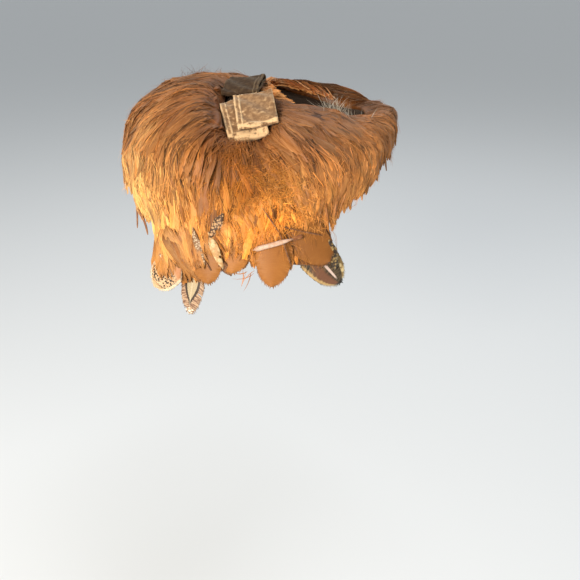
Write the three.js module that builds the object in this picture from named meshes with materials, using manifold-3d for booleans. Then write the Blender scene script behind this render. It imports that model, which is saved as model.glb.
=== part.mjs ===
// Feather fascinator: a small stiffened cap with an open crown, a thick coat of dyed
// feathers in two lobes over two side panels, loose edge feathers and a folded ribbon bow.
// Millimetres, +Z up, +X towards the face, +Y towards the wearer's left ear.
// The origin is on the underside of the cap, where it rests on the top of the head.
import * as THREE from "three";
import { mergeVertices } from "three/addons/utils/BufferGeometryUtils.js";
import Module from "manifold-3d";

const wasm = await Module();
wasm.setup();

// The head that the cap fits: an ellipsoid whose top is the origin
const HEAD_LENGTH = 180;
const HEAD_WIDTH = 150;
const HEAD_DOME = 98;

// The cap under the feathers
const CAP_WALL = 2;
const SIDE_DEPTH = 79;
const OPENING_LENGTH = 50;
const OPENING_WIDTH = 60;
const OPENING_REAR = -4;
const OPENING_BLUNTNESS = 0.72;

// The feather coat
const FURROW_LOFT = 4;
const PANEL_LOFT = 3.6;
const LOBE_GAP = 9.4;
const FAN_WIDTH = 36;
const LOCK_WIDTH = 18;
const LOCK_LENGTH = 36;
const LOCK_CREST = 1.7;
const LOCK_LIFT = 2.2;
const LOCK_RAGGED = 0.22;
const CLEARANCE = 0.35;
const FACET_SAG = 0.45;

// Loose feathers along the lower edge
const FEATHER_THICKNESS = 0.9;

// The bow
const RIBBON_WIDTH = 19;
const RIBBON_THICKNESS = 1;

// Each loop starts at x and y and stands off the head by rise. Headings are degrees from
// the wearer's right towards the face, and tilts are degrees off the head.
const BOW_LOOPS = [
  { name: "bow_loop_lower", x: -15, y: -26, rise: 4.6, heading: 7, tilt: 0, length: 25, puff: 3.6 },
  { name: "bow_loop_upper", x: -8, y: -28, rise: 9, heading: 5, tilt: 3, length: 19, puff: 1.7 },
  { name: "bow_loop_far", x: -15, y: -20, rise: 4.6, heading: 166, tilt: 0, length: 16, puff: 2.6 },
];
const BOW_HEADROOM = 20;

// Rows go from the front round one side to the back. Azimuths are in degrees from the
// front, and depths below the crown are shares of SIDE_DEPTH.
const EDGE_TABLE = [
  { azimuth: 0, cap: 0.29, coat: 0.33 },
  { azimuth: 25, cap: 0.31, coat: 0.36 },
  { azimuth: 41, cap: 0.37, coat: 0.43 },
  { azimuth: 55, cap: 0.45, coat: 0.53 },
  { azimuth: 65, cap: 0.53, coat: 0.6 },
  { azimuth: 72, cap: 0.62, coat: 0.65 },
  { azimuth: 80, cap: 0.87, coat: 0.6 },
  { azimuth: 90, cap: 0.88, coat: 0.46 },
  { azimuth: 97, cap: 0.88, coat: 0.4 },
  { azimuth: 106, cap: 0.88, coat: 0.5 },
  { azimuth: 114, cap: 0.84, coat: 0.62 },
  { azimuth: 122, cap: 0.7, coat: 0.73 },
  { azimuth: 134, cap: 0.66, coat: 0.75 },
  { azimuth: 142, cap: 0.58, coat: 0.67 },
  { azimuth: 150, cap: 0.53, coat: 0.6 },
  { azimuth: 180, cap: 0.51, coat: 0.58 },
];
const FURROW_AZIMUTH = 95;
const FURROW_GAP = 0.5;

// The side panel's four corners, as azimuths and shares of SIDE_DEPTH
const PANEL = { topFront: 76, topBack: 116, bottomFront: 68, bottomBack: 131, top: 0.24, bottom: 0.92 };

// Height of a lobe as a share of its loft, from the bow or the opening out to its edge
const LOFT_TABLE = [
  { along: 0, back: 0.25, front: 0.28 },
  { along: 0.15, back: 0.32, front: 0.5 },
  { along: 0.35, back: 0.66, front: 0.85 },
  { along: 0.58, back: 1, front: 1 },
  { along: 0.82, back: 0.76, front: 0.72 },
  { along: 1, back: 0.14, front: 0.2 },
];

// Loft of the back lobe, in millimetres, from the wearer's left round the back to the right
const BACK_LOFT_TABLE = [
  { along: 0, loft: 12 },
  { along: 0.3, loft: 13.5 },
  { along: 0.5, loft: 17.5 },
  { along: 0.7, loft: 16.5 },
  { along: 1, loft: 16 },
];

// Loft of the front lobe, in millimetres, from its near end round the opening to its far end
const FRONT_LOFT_TABLE = [
  { along: 0, loft: 10 },
  { along: 0.55, loft: 10 },
  { along: 0.78, loft: 17 },
  { along: 1, loft: 15 },
];

// Loose feathers of the wearer's right side. Places are azimuths and shares of SIDE_DEPTH,
// headings are degrees from straight down towards the front, and sizes are shares.
const FLAT_FEATHERS = [
  { name: "flat_feather_1", azimuth: 111, depth: 0.66, heading: 12, length: 28, width: 17, layer: 1 },
  { name: "flat_feather_2", azimuth: 103, depth: 0.62, heading: 8, length: 26, width: 19, layer: 0 },
  { name: "flat_feather_3", azimuth: 88, depth: 0.63, heading: -5, length: 30, width: 17, layer: 1 },
  { name: "flat_feather_4", azimuth: 88, depth: 0.6, heading: 46, length: 32, width: 19, layer: 0 },
];
const PHEASANT_FEATHERS = [
  { name: "pheasant_rear", azimuth: 117, depth: 0.86, heading: -38, length: 23, width: 17, layer: 0 },
  { name: "pheasant_hanging", azimuth: 113.8, depth: 0.87, heading: -6, length: 30, width: 12.5, layer: -1 },
  { name: "pheasant_front", azimuth: 82, depth: 0.72, heading: 40, length: 32, width: 18, layer: -1 },
];

const { cos, sin, sqrt, max, min, abs, PI, acos, floor, round } = Math;
const radians = (degrees) => (degrees * PI) / 180;
const mix = (a, b, share) => a + (b - a) * share;
const clamp01 = (x) => min(1, max(0, x));
const smooth = (x) => clamp01(x) ** 2 * (3 - 2 * clamp01(x));

// A repeatable number from 0 to 1 for each seed
const scatter = (seed) => {
  const wave = sin(seed * 12.9898 + 4.1414) * 43758.5453;
  return wave - floor(wave);
};

// Reads a column of a table, easing from one row to the next
const readTable = (table, key, column, at) => {
  const next = max(1, table.findIndex((row) => row[key] >= at));
  const [a, b] = [table[next - 1], table[next]];
  return mix(a[column], b[column], smooth((at - a[key]) / (b[key] - a[key])));
};

// Directions on the head are unit vectors, stretched to the ellipsoid by the half sizes
const HALF = new THREE.Vector3(HEAD_LENGTH / 2, HEAD_WIDTH / 2, HEAD_DOME);

const headPoint = (direction, height) => {
  const point = direction.clone().multiply(HALF);
  const normal = direction.clone().divide(HALF).normalize();
  point.z -= HEAD_DOME;
  return point.addScaledVector(normal, height);
};

const headNormal = (direction) => direction.clone().divide(HALF).normalize();

const fromAzimuth = (azimuth, depth) => {
  const level = 1 - depth / HEAD_DOME;
  const ring = sqrt(1 - level * level);
  return new THREE.Vector3(ring * cos(radians(azimuth)), ring * sin(radians(azimuth)), level);
};

const fromPlan = (x, y) => {
  const [u, v] = [x / HALF.x, y / HALF.y];
  return new THREE.Vector3(u, v, sqrt(1 - u * u - v * v));
};

// The great circle from a to b, which share may run past
const arc = (a, b, share) => {
  const angle = acos(a.dot(b));
  const [wa, wb] = [sin((1 - share) * angle), sin(share * angle)];
  return a.clone().multiplyScalar(wa).addScaledVector(b, wb).normalize();
};

// Fills an oval out towards its box
const blunt = (x) => Math.sign(x) * abs(x) ** OPENING_BLUNTNESS;

// The edge of the crown opening, by angle round its own centre
const openingEdge = (angle) =>
  fromPlan(
    OPENING_REAR + (OPENING_LENGTH / 2) * (1 + blunt(cos(radians(angle)))),
    (OPENING_WIDTH / 2) * blunt(sin(radians(angle))),
  );

const lowerEdge = (azimuth, column) => {
  const around = abs(((azimuth + 540) % 360) - 180);
  return fromAzimuth(azimuth, readTable(EDGE_TABLE, "azimuth", column, around) * SIDE_DEPTH);
};

// A closed mesh from points and triangles
const meshOf = (points, faces) => {
  const geometry = new THREE.BufferGeometry();
  geometry.setAttribute("position", new THREE.Float32BufferAttribute(points.flatMap((p) => p.toArray()), 3));
  geometry.setIndex(faces.flat());
  return geometry;
};

const toSolid = (geometry) => {
  const merged = mergeVertices(geometry, 1e-4);
  return new wasm.Manifold(
    new wasm.Mesh({
      numProp: 3,
      vertProperties: merged.attributes.position.array,
      triVerts: new Uint32Array(merged.index.array),
    }),
  );
};

// The main body of a solid, without slivers or pockets left between its locks
const mainBody = (solid) => solid.decompose().reduce((a, b) => (b.volume() > a.volume() ? b : a));

const toGeometry = (solid) => {
  const mesh = solid.getMesh();
  const geometry = new THREE.BufferGeometry();
  geometry.setAttribute("position", new THREE.BufferAttribute(new Float32Array(mesh.vertProperties), 3));
  geometry.setIndex(new THREE.BufferAttribute(new Uint32Array(mesh.triVerts), 1));
  geometry.computeVertexNormals();
  return geometry;
};

// A wall over part of the head. direction(t, r) is its place, low and high its two faces,
// and a ring closes on itself in t.
const wallSolid = ({ columns, rows, direction, low, high, ring = false }) => {
  const points = [];
  for (const height of [low, high])
    for (let i = 0; i <= columns; i++)
      for (let j = 0; j <= rows; j++) {
        const [t, r] = [i / columns, j / rows];
        points.push(headPoint(direction(t, r), height(t, r)));
      }
  const size = (columns + 1) * (rows + 1);
  const at = (i, j, top) => (ring ? i % columns : i) * (rows + 1) + j + (top ? size : 0);
  const faces = [];
  const quad = (a, b, c, d) => faces.push([a, b, c], [a, c, d]);
  for (let i = 0; i < columns; i++) {
    for (let j = 0; j < rows; j++) {
      quad(at(i, j, true), at(i, j + 1, true), at(i + 1, j + 1, true), at(i + 1, j, true));
      quad(at(i, j, false), at(i + 1, j, false), at(i + 1, j + 1, false), at(i, j + 1, false));
    }
    quad(at(i, 0, false), at(i, 0, true), at(i + 1, 0, true), at(i + 1, 0, false));
    quad(at(i, rows, false), at(i + 1, rows, false), at(i + 1, rows, true), at(i, rows, true));
  }
  if (!ring)
    for (let j = 0; j < rows; j++) {
      quad(at(0, j, false), at(0, j + 1, false), at(0, j + 1, true), at(0, j, true));
      quad(at(columns, j, false), at(columns, j, true), at(columns, j + 1, true), at(columns, j + 1, false));
    }
  return toSolid(meshOf(points, faces));
};

// A tapering solid through sections of four or more points, closed by a point at each end
const taperSolid = (root, sections, tip) => {
  const sides = sections[0].length;
  const points = [root, ...sections.flat(), tip];
  const at = (k, i) => 1 + k * sides + (i % sides);
  const faces = [];
  for (let i = 0; i < sides; i++) {
    faces.push([0, at(0, i + 1), at(0, i)]);
    faces.push([points.length - 1, at(sections.length - 1, i), at(sections.length - 1, i + 1)]);
    for (let k = 0; k + 1 < sections.length; k++) {
      faces.push([at(k, i), at(k, i + 1), at(k + 1, i + 1)]);
      faces.push([at(k, i), at(k + 1, i + 1), at(k + 1, i)]);
    }
  }
  return toSolid(meshOf(points, faces));
};

// Half widths and heights along a lock of feathers, from its root to its tip, as shares
const LOCK_SECTIONS = [
  { along: 0.3, width: 0.9, crest: 0.6, lift: -0.05 },
  { along: 0.75, width: 0.95, crest: 1, lift: 0.45 },
];

// One lock: a leaf that leaves the coat at its root and lies free at its tip
const lockSolid = ({ direction, top, t, start, end, turn, width }) => {
  const place = (along) => {
    const [tt, rr] = [t + turn * along * along, mix(start, end, along)];
    const here = direction(tt, rr);
    const ahead = headPoint(direction(tt + turn * 0.02, rr + 0.01), 0).sub(headPoint(here, 0));
    const normal = headNormal(here);
    const side = new THREE.Vector3().crossVectors(normal, ahead).normalize();
    return { here, normal, side, height: top(clamp01(tt), min(1, rr)) };
  };
  const sections = LOCK_SECTIONS.map((row) => {
    const { here, normal, side, height } = place(row.along);
    const middle = headPoint(here, height + LOCK_LIFT * row.lift);
    const half = (width / 2) * row.width;
    return [
      middle.clone().addScaledVector(side, half).addScaledVector(normal, -0.4),
      middle.clone().addScaledVector(normal, LOCK_CREST * row.crest),
      middle.clone().addScaledVector(side, -half).addScaledVector(normal, -0.4),
      middle.clone().addScaledVector(normal, -1.3),
    ];
  });
  const [root, tip] = [place(0), place(1)];
  return taperSolid(
    headPoint(root.here, root.height - 1.2),
    sections,
    headPoint(tip.here, tip.height + LOCK_LIFT * 0.8),
  );
};

// Rows of locks over a patch, each named by how far out its tips reach
const lockRows = ({ direction, top, patchLength, tips, seed, margin }) => {
  const locks = [];
  tips.forEach((tip, rowNumber) => {
    const across = widthAt(direction, min(0.95, tip - 0.15));
    const room = across - 2 * margin - LOCK_WIDTH;
    const count = max(2, round(room / (LOCK_WIDTH * 0.84)) + 1);
    for (let k = 0; k < count; k++) {
      const key = seed + rowNumber * 31 + k;
      const t = (margin + LOCK_WIDTH / 2 + (room * k) / (count - 1)) / across;
      const reach = LOCK_LENGTH / patchLength(t);
      const end = tip + (scatter(key) - 0.5) * LOCK_RAGGED * reach;
      const start = max(0.03, end - reach * mix(0.9, 1.1, scatter(key + 3)));
      locks.push(
        lockSolid({
          direction,
          top,
          t,
          start,
          end,
          turn: (scatter(key + 7) - 0.5) * 0.03 * (t > 0.12 && t < 0.88),
          width: LOCK_WIDTH * mix(0.9, 1.12, scatter(key + 5)),
        }),
      );
    }
  });
  return locks;
};

const widthAt = (direction, r) => {
  let length = 0;
  const steps = 24;
  for (let i = 0; i < steps; i++)
    length += headPoint(direction(i / steps, r), 0).distanceTo(headPoint(direction((i + 1) / steps, r), 0));
  return length;
};

const lengthAt = (direction) => (t) => {
  let length = 0;
  const steps = 12;
  for (let i = 0; i < steps; i++)
    length += headPoint(direction(t, i / steps), 0).distanceTo(headPoint(direction(t, (i + 1) / steps), 0));
  return length;
};

// The cap: a stiffened shell from the crown opening down to its rim
const makeCap = () =>
  wallSolid({
    columns: 36,
    rows: 5,
    ring: true,
    direction: (t, r) => arc(openingEdge(360 * t), lowerEdge(360 * t, "cap"), r),
    low: () => 0,
    high: () => CAP_WALL,
  });

// The side panel's place: t from its front edge to its back edge, r downwards
const panelDirection = (side, grow = 0) => (t, r) => {
  const growth = (grow / SIDE_DEPTH) * 1.2;
  const across = side > 0 ? t : 1 - t;
  const [tt, rr] = [mix(-growth, 1 + growth, across), mix(-growth, 1 + growth, r)];
  const top = fromAzimuth(side * mix(PANEL.topFront, PANEL.topBack, tt), PANEL.top * SIDE_DEPTH);
  const bottom = fromAzimuth(side * mix(PANEL.bottomFront, PANEL.bottomBack, tt), PANEL.bottom * SIDE_DEPTH);
  return arc(top, bottom, rr);
};
const PANEL_FOOT = CAP_WALL + CLEARANCE + FACET_SAG;
const panelTop = (t, r) => PANEL_FOOT + PANEL_LOFT * mix(0.4, 1, smooth(r / 0.45)) * (1 - 0.35 * smooth((r - 0.85) / 0.15));

const makePanel = (side) => {
  const direction = panelDirection(side);
  const wall = wallSolid({ columns: 10, rows: 8, direction, low: () => PANEL_FOOT, high: panelTop });
  const locks = lockRows({
    direction,
    top: panelTop,
    patchLength: lengthAt(direction),
    tips: [0.72, 1.04],
    seed: side > 0 ? 300 : 400,
    margin: 1,
  });
  return wasm.Manifold.union([wall, ...locks]);
};

// Room that the lobes leave for a panel under them
const panelRoom = (side) =>
  wallSolid({
    columns: 10,
    rows: 8,
    direction: panelDirection(side, 2 * (CLEARANCE + FACET_SAG)),
    low: () => -1,
    high: (t, r) => panelTop(t, r) + CLEARANCE + (LOCK_CREST + LOCK_LIFT) * smooth(r / 0.2),
  });

// A lobe of the coat over a patch of the head, thick in the middle and thin at the furrow
const lobeTop = (direction, loft, profile) => {
  const furrow = 20 / widthAt(direction, 0.6);
  return (t, r) => {
    const inside = smooth(min(t, 1 - t) / furrow);
    return PANEL_FOOT + readTable(LOFT_TABLE, "along", profile, r) * mix(FURROW_LOFT, loft(t), inside);
  };
};

const makeLobe = ({ direction, loft, profile, columns, rows, tips, seed }) => {
  const top = lobeTop(direction, loft, profile);
  const wall = wallSolid({ columns, rows, direction, low: () => PANEL_FOOT, high: top });
  const locks = lockRows({
    direction,
    top,
    patchLength: lengthAt(direction),
    tips,
    seed,
    margin: 0.5,
  });
  return wasm.Manifold.union([wall, ...locks]);
};

// The back lobe fans out from behind the bow, round the back of the head
const backDirection = (t, r) => {
  const start = fromPlan(-LOBE_GAP, mix(0.5, -0.5, t) * FAN_WIDTH);
  const edge = mix(FURROW_AZIMUTH + FURROW_GAP, 360 - FURROW_AZIMUTH - FURROW_GAP, t);
  return arc(start, lowerEdge(edge, "coat"), r);
};

// The front lobe runs round the opening, from one side of the bow to the other
const frontDirection = (t, r) => {
  const start = openingEdge(mix(-168, 168, t));
  const edge = mix(-FURROW_AZIMUTH + FURROW_GAP, FURROW_AZIMUTH - FURROW_GAP, t);
  return arc(start, lowerEdge(edge, "coat"), r);
};

// Walks over the head in short steps, from a place and in a direction that turns with it
const walkHead = (root, way, distance) => {
  const steps = 6;
  const point = headPoint(root, 0);
  const ahead = way.clone();
  let here = root;
  for (let i = 0; i < steps; i++) {
    point.addScaledVector(ahead, distance / steps);
    here = new THREE.Vector3(point.x, point.y, point.z + HEAD_DOME).divide(HALF).normalize();
    const normal = headNormal(here);
    ahead.addScaledVector(normal, -ahead.dot(normal)).normalize();
    point.copy(headPoint(here, 0));
  }
  return { here, ahead };
};

// A loose feather: a curved leaf that keeps to the head, from its root along its heading
const FEATHER_OUTLINE = [
  { along: 0.08, width: 0.34 },
  { along: 0.28, width: 0.8 },
  { along: 0.55, width: 1 },
  { along: 0.8, width: 0.86 },
  { along: 0.94, width: 0.5 },
];

const featherSolid = ({ side, azimuth, depth, heading, length, width, height, grow = 0 }) => {
  const root = fromAzimuth(side * azimuth, depth * SIDE_DEPTH);
  const origin = headPoint(root, 0);
  const down = headPoint(fromAzimuth(side * azimuth, depth * SIDE_DEPTH + 1), 0).sub(origin).normalize();
  const front = new THREE.Vector3().crossVectors(headNormal(root), down).multiplyScalar(-side).normalize();
  const way = down.multiplyScalar(cos(radians(heading))).addScaledVector(front, sin(radians(heading)));
  const walk = (distance) => walkHead(root, way, distance);
  const half = FEATHER_THICKNESS / 2 + grow;
  const at = (along, share) => {
    const { here, ahead } = walk(length * along);
    const sideways = new THREE.Vector3().crossVectors(headNormal(here), ahead).normalize();
    const reach = (width / 2) * share + (share ? grow : 0);
    return { here, sideways, reach };
  };
  const sections = FEATHER_OUTLINE.map((row) => {
    const { here, sideways, reach } = at(row.along, row.width);
    const spot = (across, offset) => {
      const moved = headPoint(here, 0).addScaledVector(sideways, across * reach);
      moved.z += HEAD_DOME;
      return headPoint(moved.divide(HALF).normalize(), height + offset);
    };
    return [spot(1, 0), spot(0.5, half), spot(-0.5, half), spot(-1, 0), spot(-0.5, -half), spot(0.5, -half)];
  });
  const tip = walk(length + grow);
  return taperSolid(
    headPoint(walk(-grow).here, height),
    sections,
    headPoint(tip.here, height),
  );
};

// Layer -1 is tucked under the panel, 0 lies on it, and 1 lies over that
const layerHeight = (layer) =>
  layer < 0
    ? PANEL_FOOT + FEATHER_THICKNESS / 2
    : PANEL_FOOT + PANEL_LOFT + LOCK_CREST + FEATHER_THICKNESS * 0.5 + layer * (FEATHER_THICKNESS + 2 * CLEARANCE);

const featherShape = (row, side, grow) => featherSolid({ ...row, side, height: layerHeight(row.layer), grow });

// The outline of a loop of ribbon seen from its side, as shares of its length and puff.
// It is pinched where it is sewn and round where it folds.
const LOOP_OUTLINE = [
  [0.02, 0],
  [0.3, -0.03],
  [0.7, 0.02],
  [0.94, 0.12],
  [1, 0.5],
  [0.94, 0.92],
  [0.7, 1],
  [0.3, 0.8],
  [0.03, 0.6],
  [0, 0.3],
];

const loopSolid = ({ x, y, rise, heading, tilt, length, puff }, grow) => {
  const outline = LOOP_OUTLINE.map(([along, height]) => new THREE.Vector3(along * length, 0, height * puff));
  const curve = new THREE.CatmullRomCurve3(outline, true);
  const steps = 20;
  const thick = RIBBON_THICKNESS / 2 + grow;
  const root = fromPlan(x, y);
  const plan = new THREE.Vector3(sin(radians(heading)), -cos(radians(heading)), 0);
  const way = plan.addScaledVector(headNormal(root), -plan.dot(headNormal(root))).normalize();
  const points = [];
  for (let k = 0; k < steps; k++) {
    const middle = curve.getPointAt(k / steps);
    const tangent = curve.getTangentAt(k / steps);
    for (const [across, face] of [[-1, -1], [1, -1], [1, 1], [-1, 1]]) {
      const along = middle.x + tangent.z * face * thick;
      const height = rise + middle.z - tangent.x * face * thick + along * Math.tan(radians(tilt));
      const { here, ahead } = walkHead(root, way, along);
      const sideways = new THREE.Vector3().crossVectors(headNormal(here), ahead);
      points.push(headPoint(here, height).addScaledVector(sideways, across * (RIBBON_WIDTH / 2 + grow)));
    }
  }
  const at = (k, i) => (k % steps) * 4 + (i % 4);
  const faces = [];
  for (let k = 0; k < steps; k++)
    for (let i = 0; i < 4; i++) {
      faces.push([at(k, i), at(k + 1, i + 1), at(k, i + 1)]);
      faces.push([at(k, i), at(k + 1, i), at(k + 1, i + 1)]);
    }
  return toSolid(meshOf(points, faces));
};

const group = new THREE.Group();
const addNode = (name, solid, material) => {
  const mesh = new THREE.Mesh(toGeometry(solid), material);
  mesh.name = name;
  group.add(mesh);
};

const capCloth = new THREE.MeshStandardMaterial({ color: 0x4a3020, roughness: 0.9 });
const orangeFeather = new THREE.MeshStandardMaterial({ color: 0xc27a3c, roughness: 0.6 });
const flatFeather = new THREE.MeshStandardMaterial({ color: 0xc4793b, roughness: 0.5 });
const pheasantFeather = new THREE.MeshStandardMaterial({ color: 0x6f5236, roughness: 0.6 });
const velvet = new THREE.MeshStandardMaterial({ color: 0x9a7548, roughness: 0.7 });

const SIDES = [
  { word: "right", side: -1 },
  { word: "left", side: 1 },
];

const rooms = wasm.Manifold.union(SIDES.map(({ side }) => panelRoom(side)));

addNode("cap", makeCap(), capCloth);

const back = makeLobe({
  direction: backDirection,
  loft: (t) => readTable(BACK_LOFT_TABLE, "along", "loft", t),
  profile: "back",
  columns: 16,
  rows: 6,
  tips: [0.38, 0.6, 0.82, 1.03],
  seed: 10,
});
const front = makeLobe({
  direction: frontDirection,
  loft: (t) => readTable(FRONT_LOFT_TABLE, "along", "loft", t),
  profile: "front",
  columns: 22,
  rows: 5,
  tips: [0.55, 1.03],
  seed: 200,
});

const looseFeathers = [
  ...FLAT_FEATHERS.flatMap((row) =>
    SIDES.map(({ word, side }) => ({
      name: row.name + "_" + word,
      shape: (grow) => featherShape(row, side, grow),
      material: flatFeather,
    })),
  ),
  ...PHEASANT_FEATHERS.map((row) => ({
    name: row.name,
    shape: (grow) => featherShape(row, -1, grow),
    material: pheasantFeather,
  })),
];
const featherRoom = wasm.Manifold.union(looseFeathers.map(({ shape }) => shape(CLEARANCE)));

const bowRoom = wasm.Manifold.hull(
  BOW_LOOPS.flatMap((row) =>
    [row.rise, row.rise + BOW_HEADROOM].map((rise) => loopSolid({ ...row, rise }, CLEARANCE)),
  ),
);

const lobeRoom = wasm.Manifold.union([rooms, featherRoom, bowRoom]);
addNode("back_lobe", mainBody(back.subtract(lobeRoom)), orangeFeather);
addNode("front_lobe", mainBody(front.subtract(lobeRoom)), orangeFeather);
for (const { word, side } of SIDES)
  addNode("side_panel_" + word, mainBody(makePanel(side).subtract(featherRoom).subtract(bowRoom)), orangeFeather);
for (const { name, shape, material } of looseFeathers) addNode(name, shape(0), material);
for (const row of BOW_LOOPS) addNode(row.name, loopSolid(row, 0), velvet);

export default group;
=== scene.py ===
# %% [markdown]
# # A feather fascinator in hackles, flat feathers and velvet
# The solid frame gives the true size of each piece. Everything here is laid over it in the same
# place, in metres: the wearer faces +X, their left ear is at +Y, and the origin is where the cap
# rests on the top of the head.

# %% Load the frame
import math

import bmesh
import bpy
import numpy as np
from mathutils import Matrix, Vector
from mathutils.bvhtree import BVHTree


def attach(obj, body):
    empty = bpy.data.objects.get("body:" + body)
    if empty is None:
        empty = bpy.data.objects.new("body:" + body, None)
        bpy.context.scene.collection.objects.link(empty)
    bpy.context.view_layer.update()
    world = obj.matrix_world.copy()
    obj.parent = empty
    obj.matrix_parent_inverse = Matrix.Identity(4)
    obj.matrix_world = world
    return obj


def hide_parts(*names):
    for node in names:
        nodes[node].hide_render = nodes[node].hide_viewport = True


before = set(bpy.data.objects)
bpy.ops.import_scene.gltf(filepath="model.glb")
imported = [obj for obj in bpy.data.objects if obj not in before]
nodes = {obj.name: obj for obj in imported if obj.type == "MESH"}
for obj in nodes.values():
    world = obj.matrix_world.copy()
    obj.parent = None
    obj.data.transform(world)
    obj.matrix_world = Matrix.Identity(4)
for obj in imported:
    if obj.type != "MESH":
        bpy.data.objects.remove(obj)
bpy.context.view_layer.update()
MM = 0.001

# %% [markdown]
# The photograph looks down on the wearer's right side. A camera is only a place, a direction and a
# lens, so those three are worked out once and typed in. The Standard view keeps the dye as strong as
# it is to the eye.

# %% Camera
LOOK_DOWN = 26.0
SENSOR_MM, LENS_IN_PIXELS, PICTURE_IN_PIXELS = 36.0, 600, 580
bpy.context.scene.view_settings.view_transform = "Standard"
camera_data = bpy.data.cameras.new("camera")
camera_data.lens = SENSOR_MM * LENS_IN_PIXELS / PICTURE_IN_PIXELS
camera_data.clip_start = 0.01
camera_data.clip_end = 400
camera = bpy.data.objects.new("camera", camera_data)
camera.location = (0.009, -0.333, 0.043)
camera.rotation_euler = (math.radians(90 - LOOK_DOWN), 0, 0)
bpy.context.scene.collection.objects.link(camera)
bpy.context.scene.camera = camera
print("camera looks down", LOOK_DOWN, "degrees")

# %% [markdown]
# The floor and the lights stay plain: a broad warm key low at the front left makes the lower
# feathers glow, and a weak cool fill keeps the crown soft and brown.

# %% Floor and light
def plain_material(name, colour, roughness):
    material = bpy.data.materials.new(name)
    material.use_nodes = True
    shader = material.node_tree.nodes["Principled BSDF"]
    shader.inputs["Base Color"].default_value = (*colour, 1)
    shader.inputs["Roughness"].default_value = roughness
    return material


FLOOR_LEVEL = -0.30
FLOOR_REACH = 120.0
floor_mesh = bmesh.new()
bmesh.ops.create_grid(floor_mesh, x_segments=1, y_segments=1, size=FLOOR_REACH)
bmesh.ops.translate(floor_mesh, verts=floor_mesh.verts, vec=(0, 0, FLOOR_LEVEL))
floor_data = bpy.data.meshes.new("floor")
floor_mesh.to_mesh(floor_data)
floor_mesh.free()
floor = bpy.data.objects.new("floor", floor_data)
floor_data.materials.append(plain_material("pale_floor", (0.80, 0.81, 0.80), 0.9))
bpy.context.scene.collection.objects.link(floor)


def add_light(name, place, target, size, power, colour):
    data = bpy.data.lights.new(name, "AREA")
    data.size = size
    data.energy = power
    data.color = colour
    light = bpy.data.objects.new(name, data)
    light.location = place
    light.rotation_euler = (Vector(target) - Vector(place)).to_track_quat("-Z", "Y").to_euler()
    bpy.context.scene.collection.objects.link(light)


add_light("key", (-0.50, -0.95, 0.22), (0, 0, -0.05), 0.45, 16, (1.0, 0.93, 0.84))
add_light("top_fill", (0.3, 0.3, 1.0), (0, 0, 0), 0.8, 6, (0.90, 0.94, 1.0))
world = bpy.data.worlds.new("studio")
world.use_nodes = True
world.node_tree.nodes["Background"].inputs["Color"].default_value = (0.80, 0.84, 0.88, 1)
world.node_tree.nodes["Background"].inputs["Strength"].default_value = 0.55
bpy.context.scene.world = world
print("floor and lights set")

# %% [markdown]
# Every feather follows the head. The head under the cap is an egg shape, so a place on it is a
# direction from its middle, and a height is measured along its normal. Working on the whole list of
# feathers at once with arrays keeps this quick.

# %% The head that everything follows
HALF = np.array([0.090, 0.075, 0.098])
MIDDLE = np.array([0, 0, -0.098])


def unit(vectors):
    return vectors / np.maximum(np.linalg.norm(vectors, axis=-1, keepdims=True), 1e-12)


def head_direction(points):
    return unit((points - MIDDLE) / HALF)


def head_normal(directions):
    return unit(directions / HALF)


def head_point(directions, height):
    return MIDDLE + directions * HALF + head_normal(directions) * np.asarray(height)[..., None]


def direction_at(azimuth, depth_mm):
    level = 1 - depth_mm * MM / HALF[2]
    ring = np.sqrt(np.maximum(0, 1 - level**2))
    turn = np.radians(azimuth)
    return np.stack([ring * np.cos(turn), ring * np.sin(turn), level + 0 * turn], -1)


print("head", 2 * HALF[:2], "m long and wide")

# %% [markdown]
# The coat's height over the head is read from the frame's lobes and panels with rays, once for a
# grid of directions. The grid also keeps which node each place belongs to, and the height without
# the flat feathers, for what lies under them.

# %% Map the coat
COAT_NODES = ["back_lobe", "front_lobe", "side_panel_right", "side_panel_left"]
FLAT_NODES = [name for name in nodes if name.startswith("flat_feather")] + ["pheasant_rear"]
POLAR_STEPS, TURN_STEPS = 76, 180
POLAR_START, POLAR_END = 0.004, math.radians(95)
REACH = 0.06
CAP_TOP = 0.0024
SOFT_ROUNDS = 5


def tree_of(name):
    shape = bmesh.new()
    shape.from_mesh(nodes[name].data)
    tree = BVHTree.FromBMesh(shape)
    shape.free()
    return tree


def grid_directions():
    polar = np.linspace(POLAR_START, POLAR_END, POLAR_STEPS)[:, None]
    turn = np.linspace(-math.pi, math.pi, TURN_STEPS, endpoint=False)[None, :]
    ring, level = np.sin(polar), np.cos(polar)
    return np.stack([ring * np.cos(turn), ring * np.sin(turn), level + 0 * turn], -1)


trees = [tree_of(name) for name in COAT_NODES + FLAT_NODES]
grid = grid_directions()
starts = head_point(grid, np.full(grid.shape[:2], REACH))
normals = head_normal(grid)
coat = np.full(grid.shape[:2], CAP_TOP)
under = coat.copy()
owner = np.full(grid.shape[:2], -1)
for row in range(POLAR_STEPS):
    for column in range(TURN_STEPS):
        start = Vector(starts[row, column])
        way = Vector(-normals[row, column])
        for number, tree in enumerate(trees):
            found = tree.ray_cast(start, way, REACH)
            if found[0] is not None and REACH - found[3] > coat[row, column]:
                coat[row, column] = REACH - found[3]
                if number < len(COAT_NODES):
                    under[row, column] = coat[row, column]
                    owner[row, column] = number
print("coat up to", round(float(coat.max()) / MM, 1), "mm high")

# %% [markdown]
# The padding under the feathers is round, so the heights are smoothed a little, while the lobes, the
# furrow and the edges stay where the frame has them. Feathers of two lobes touch: narrow gaps in
# the map of nodes are closed, and the lobes may hang a little over their lower edge.

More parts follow.
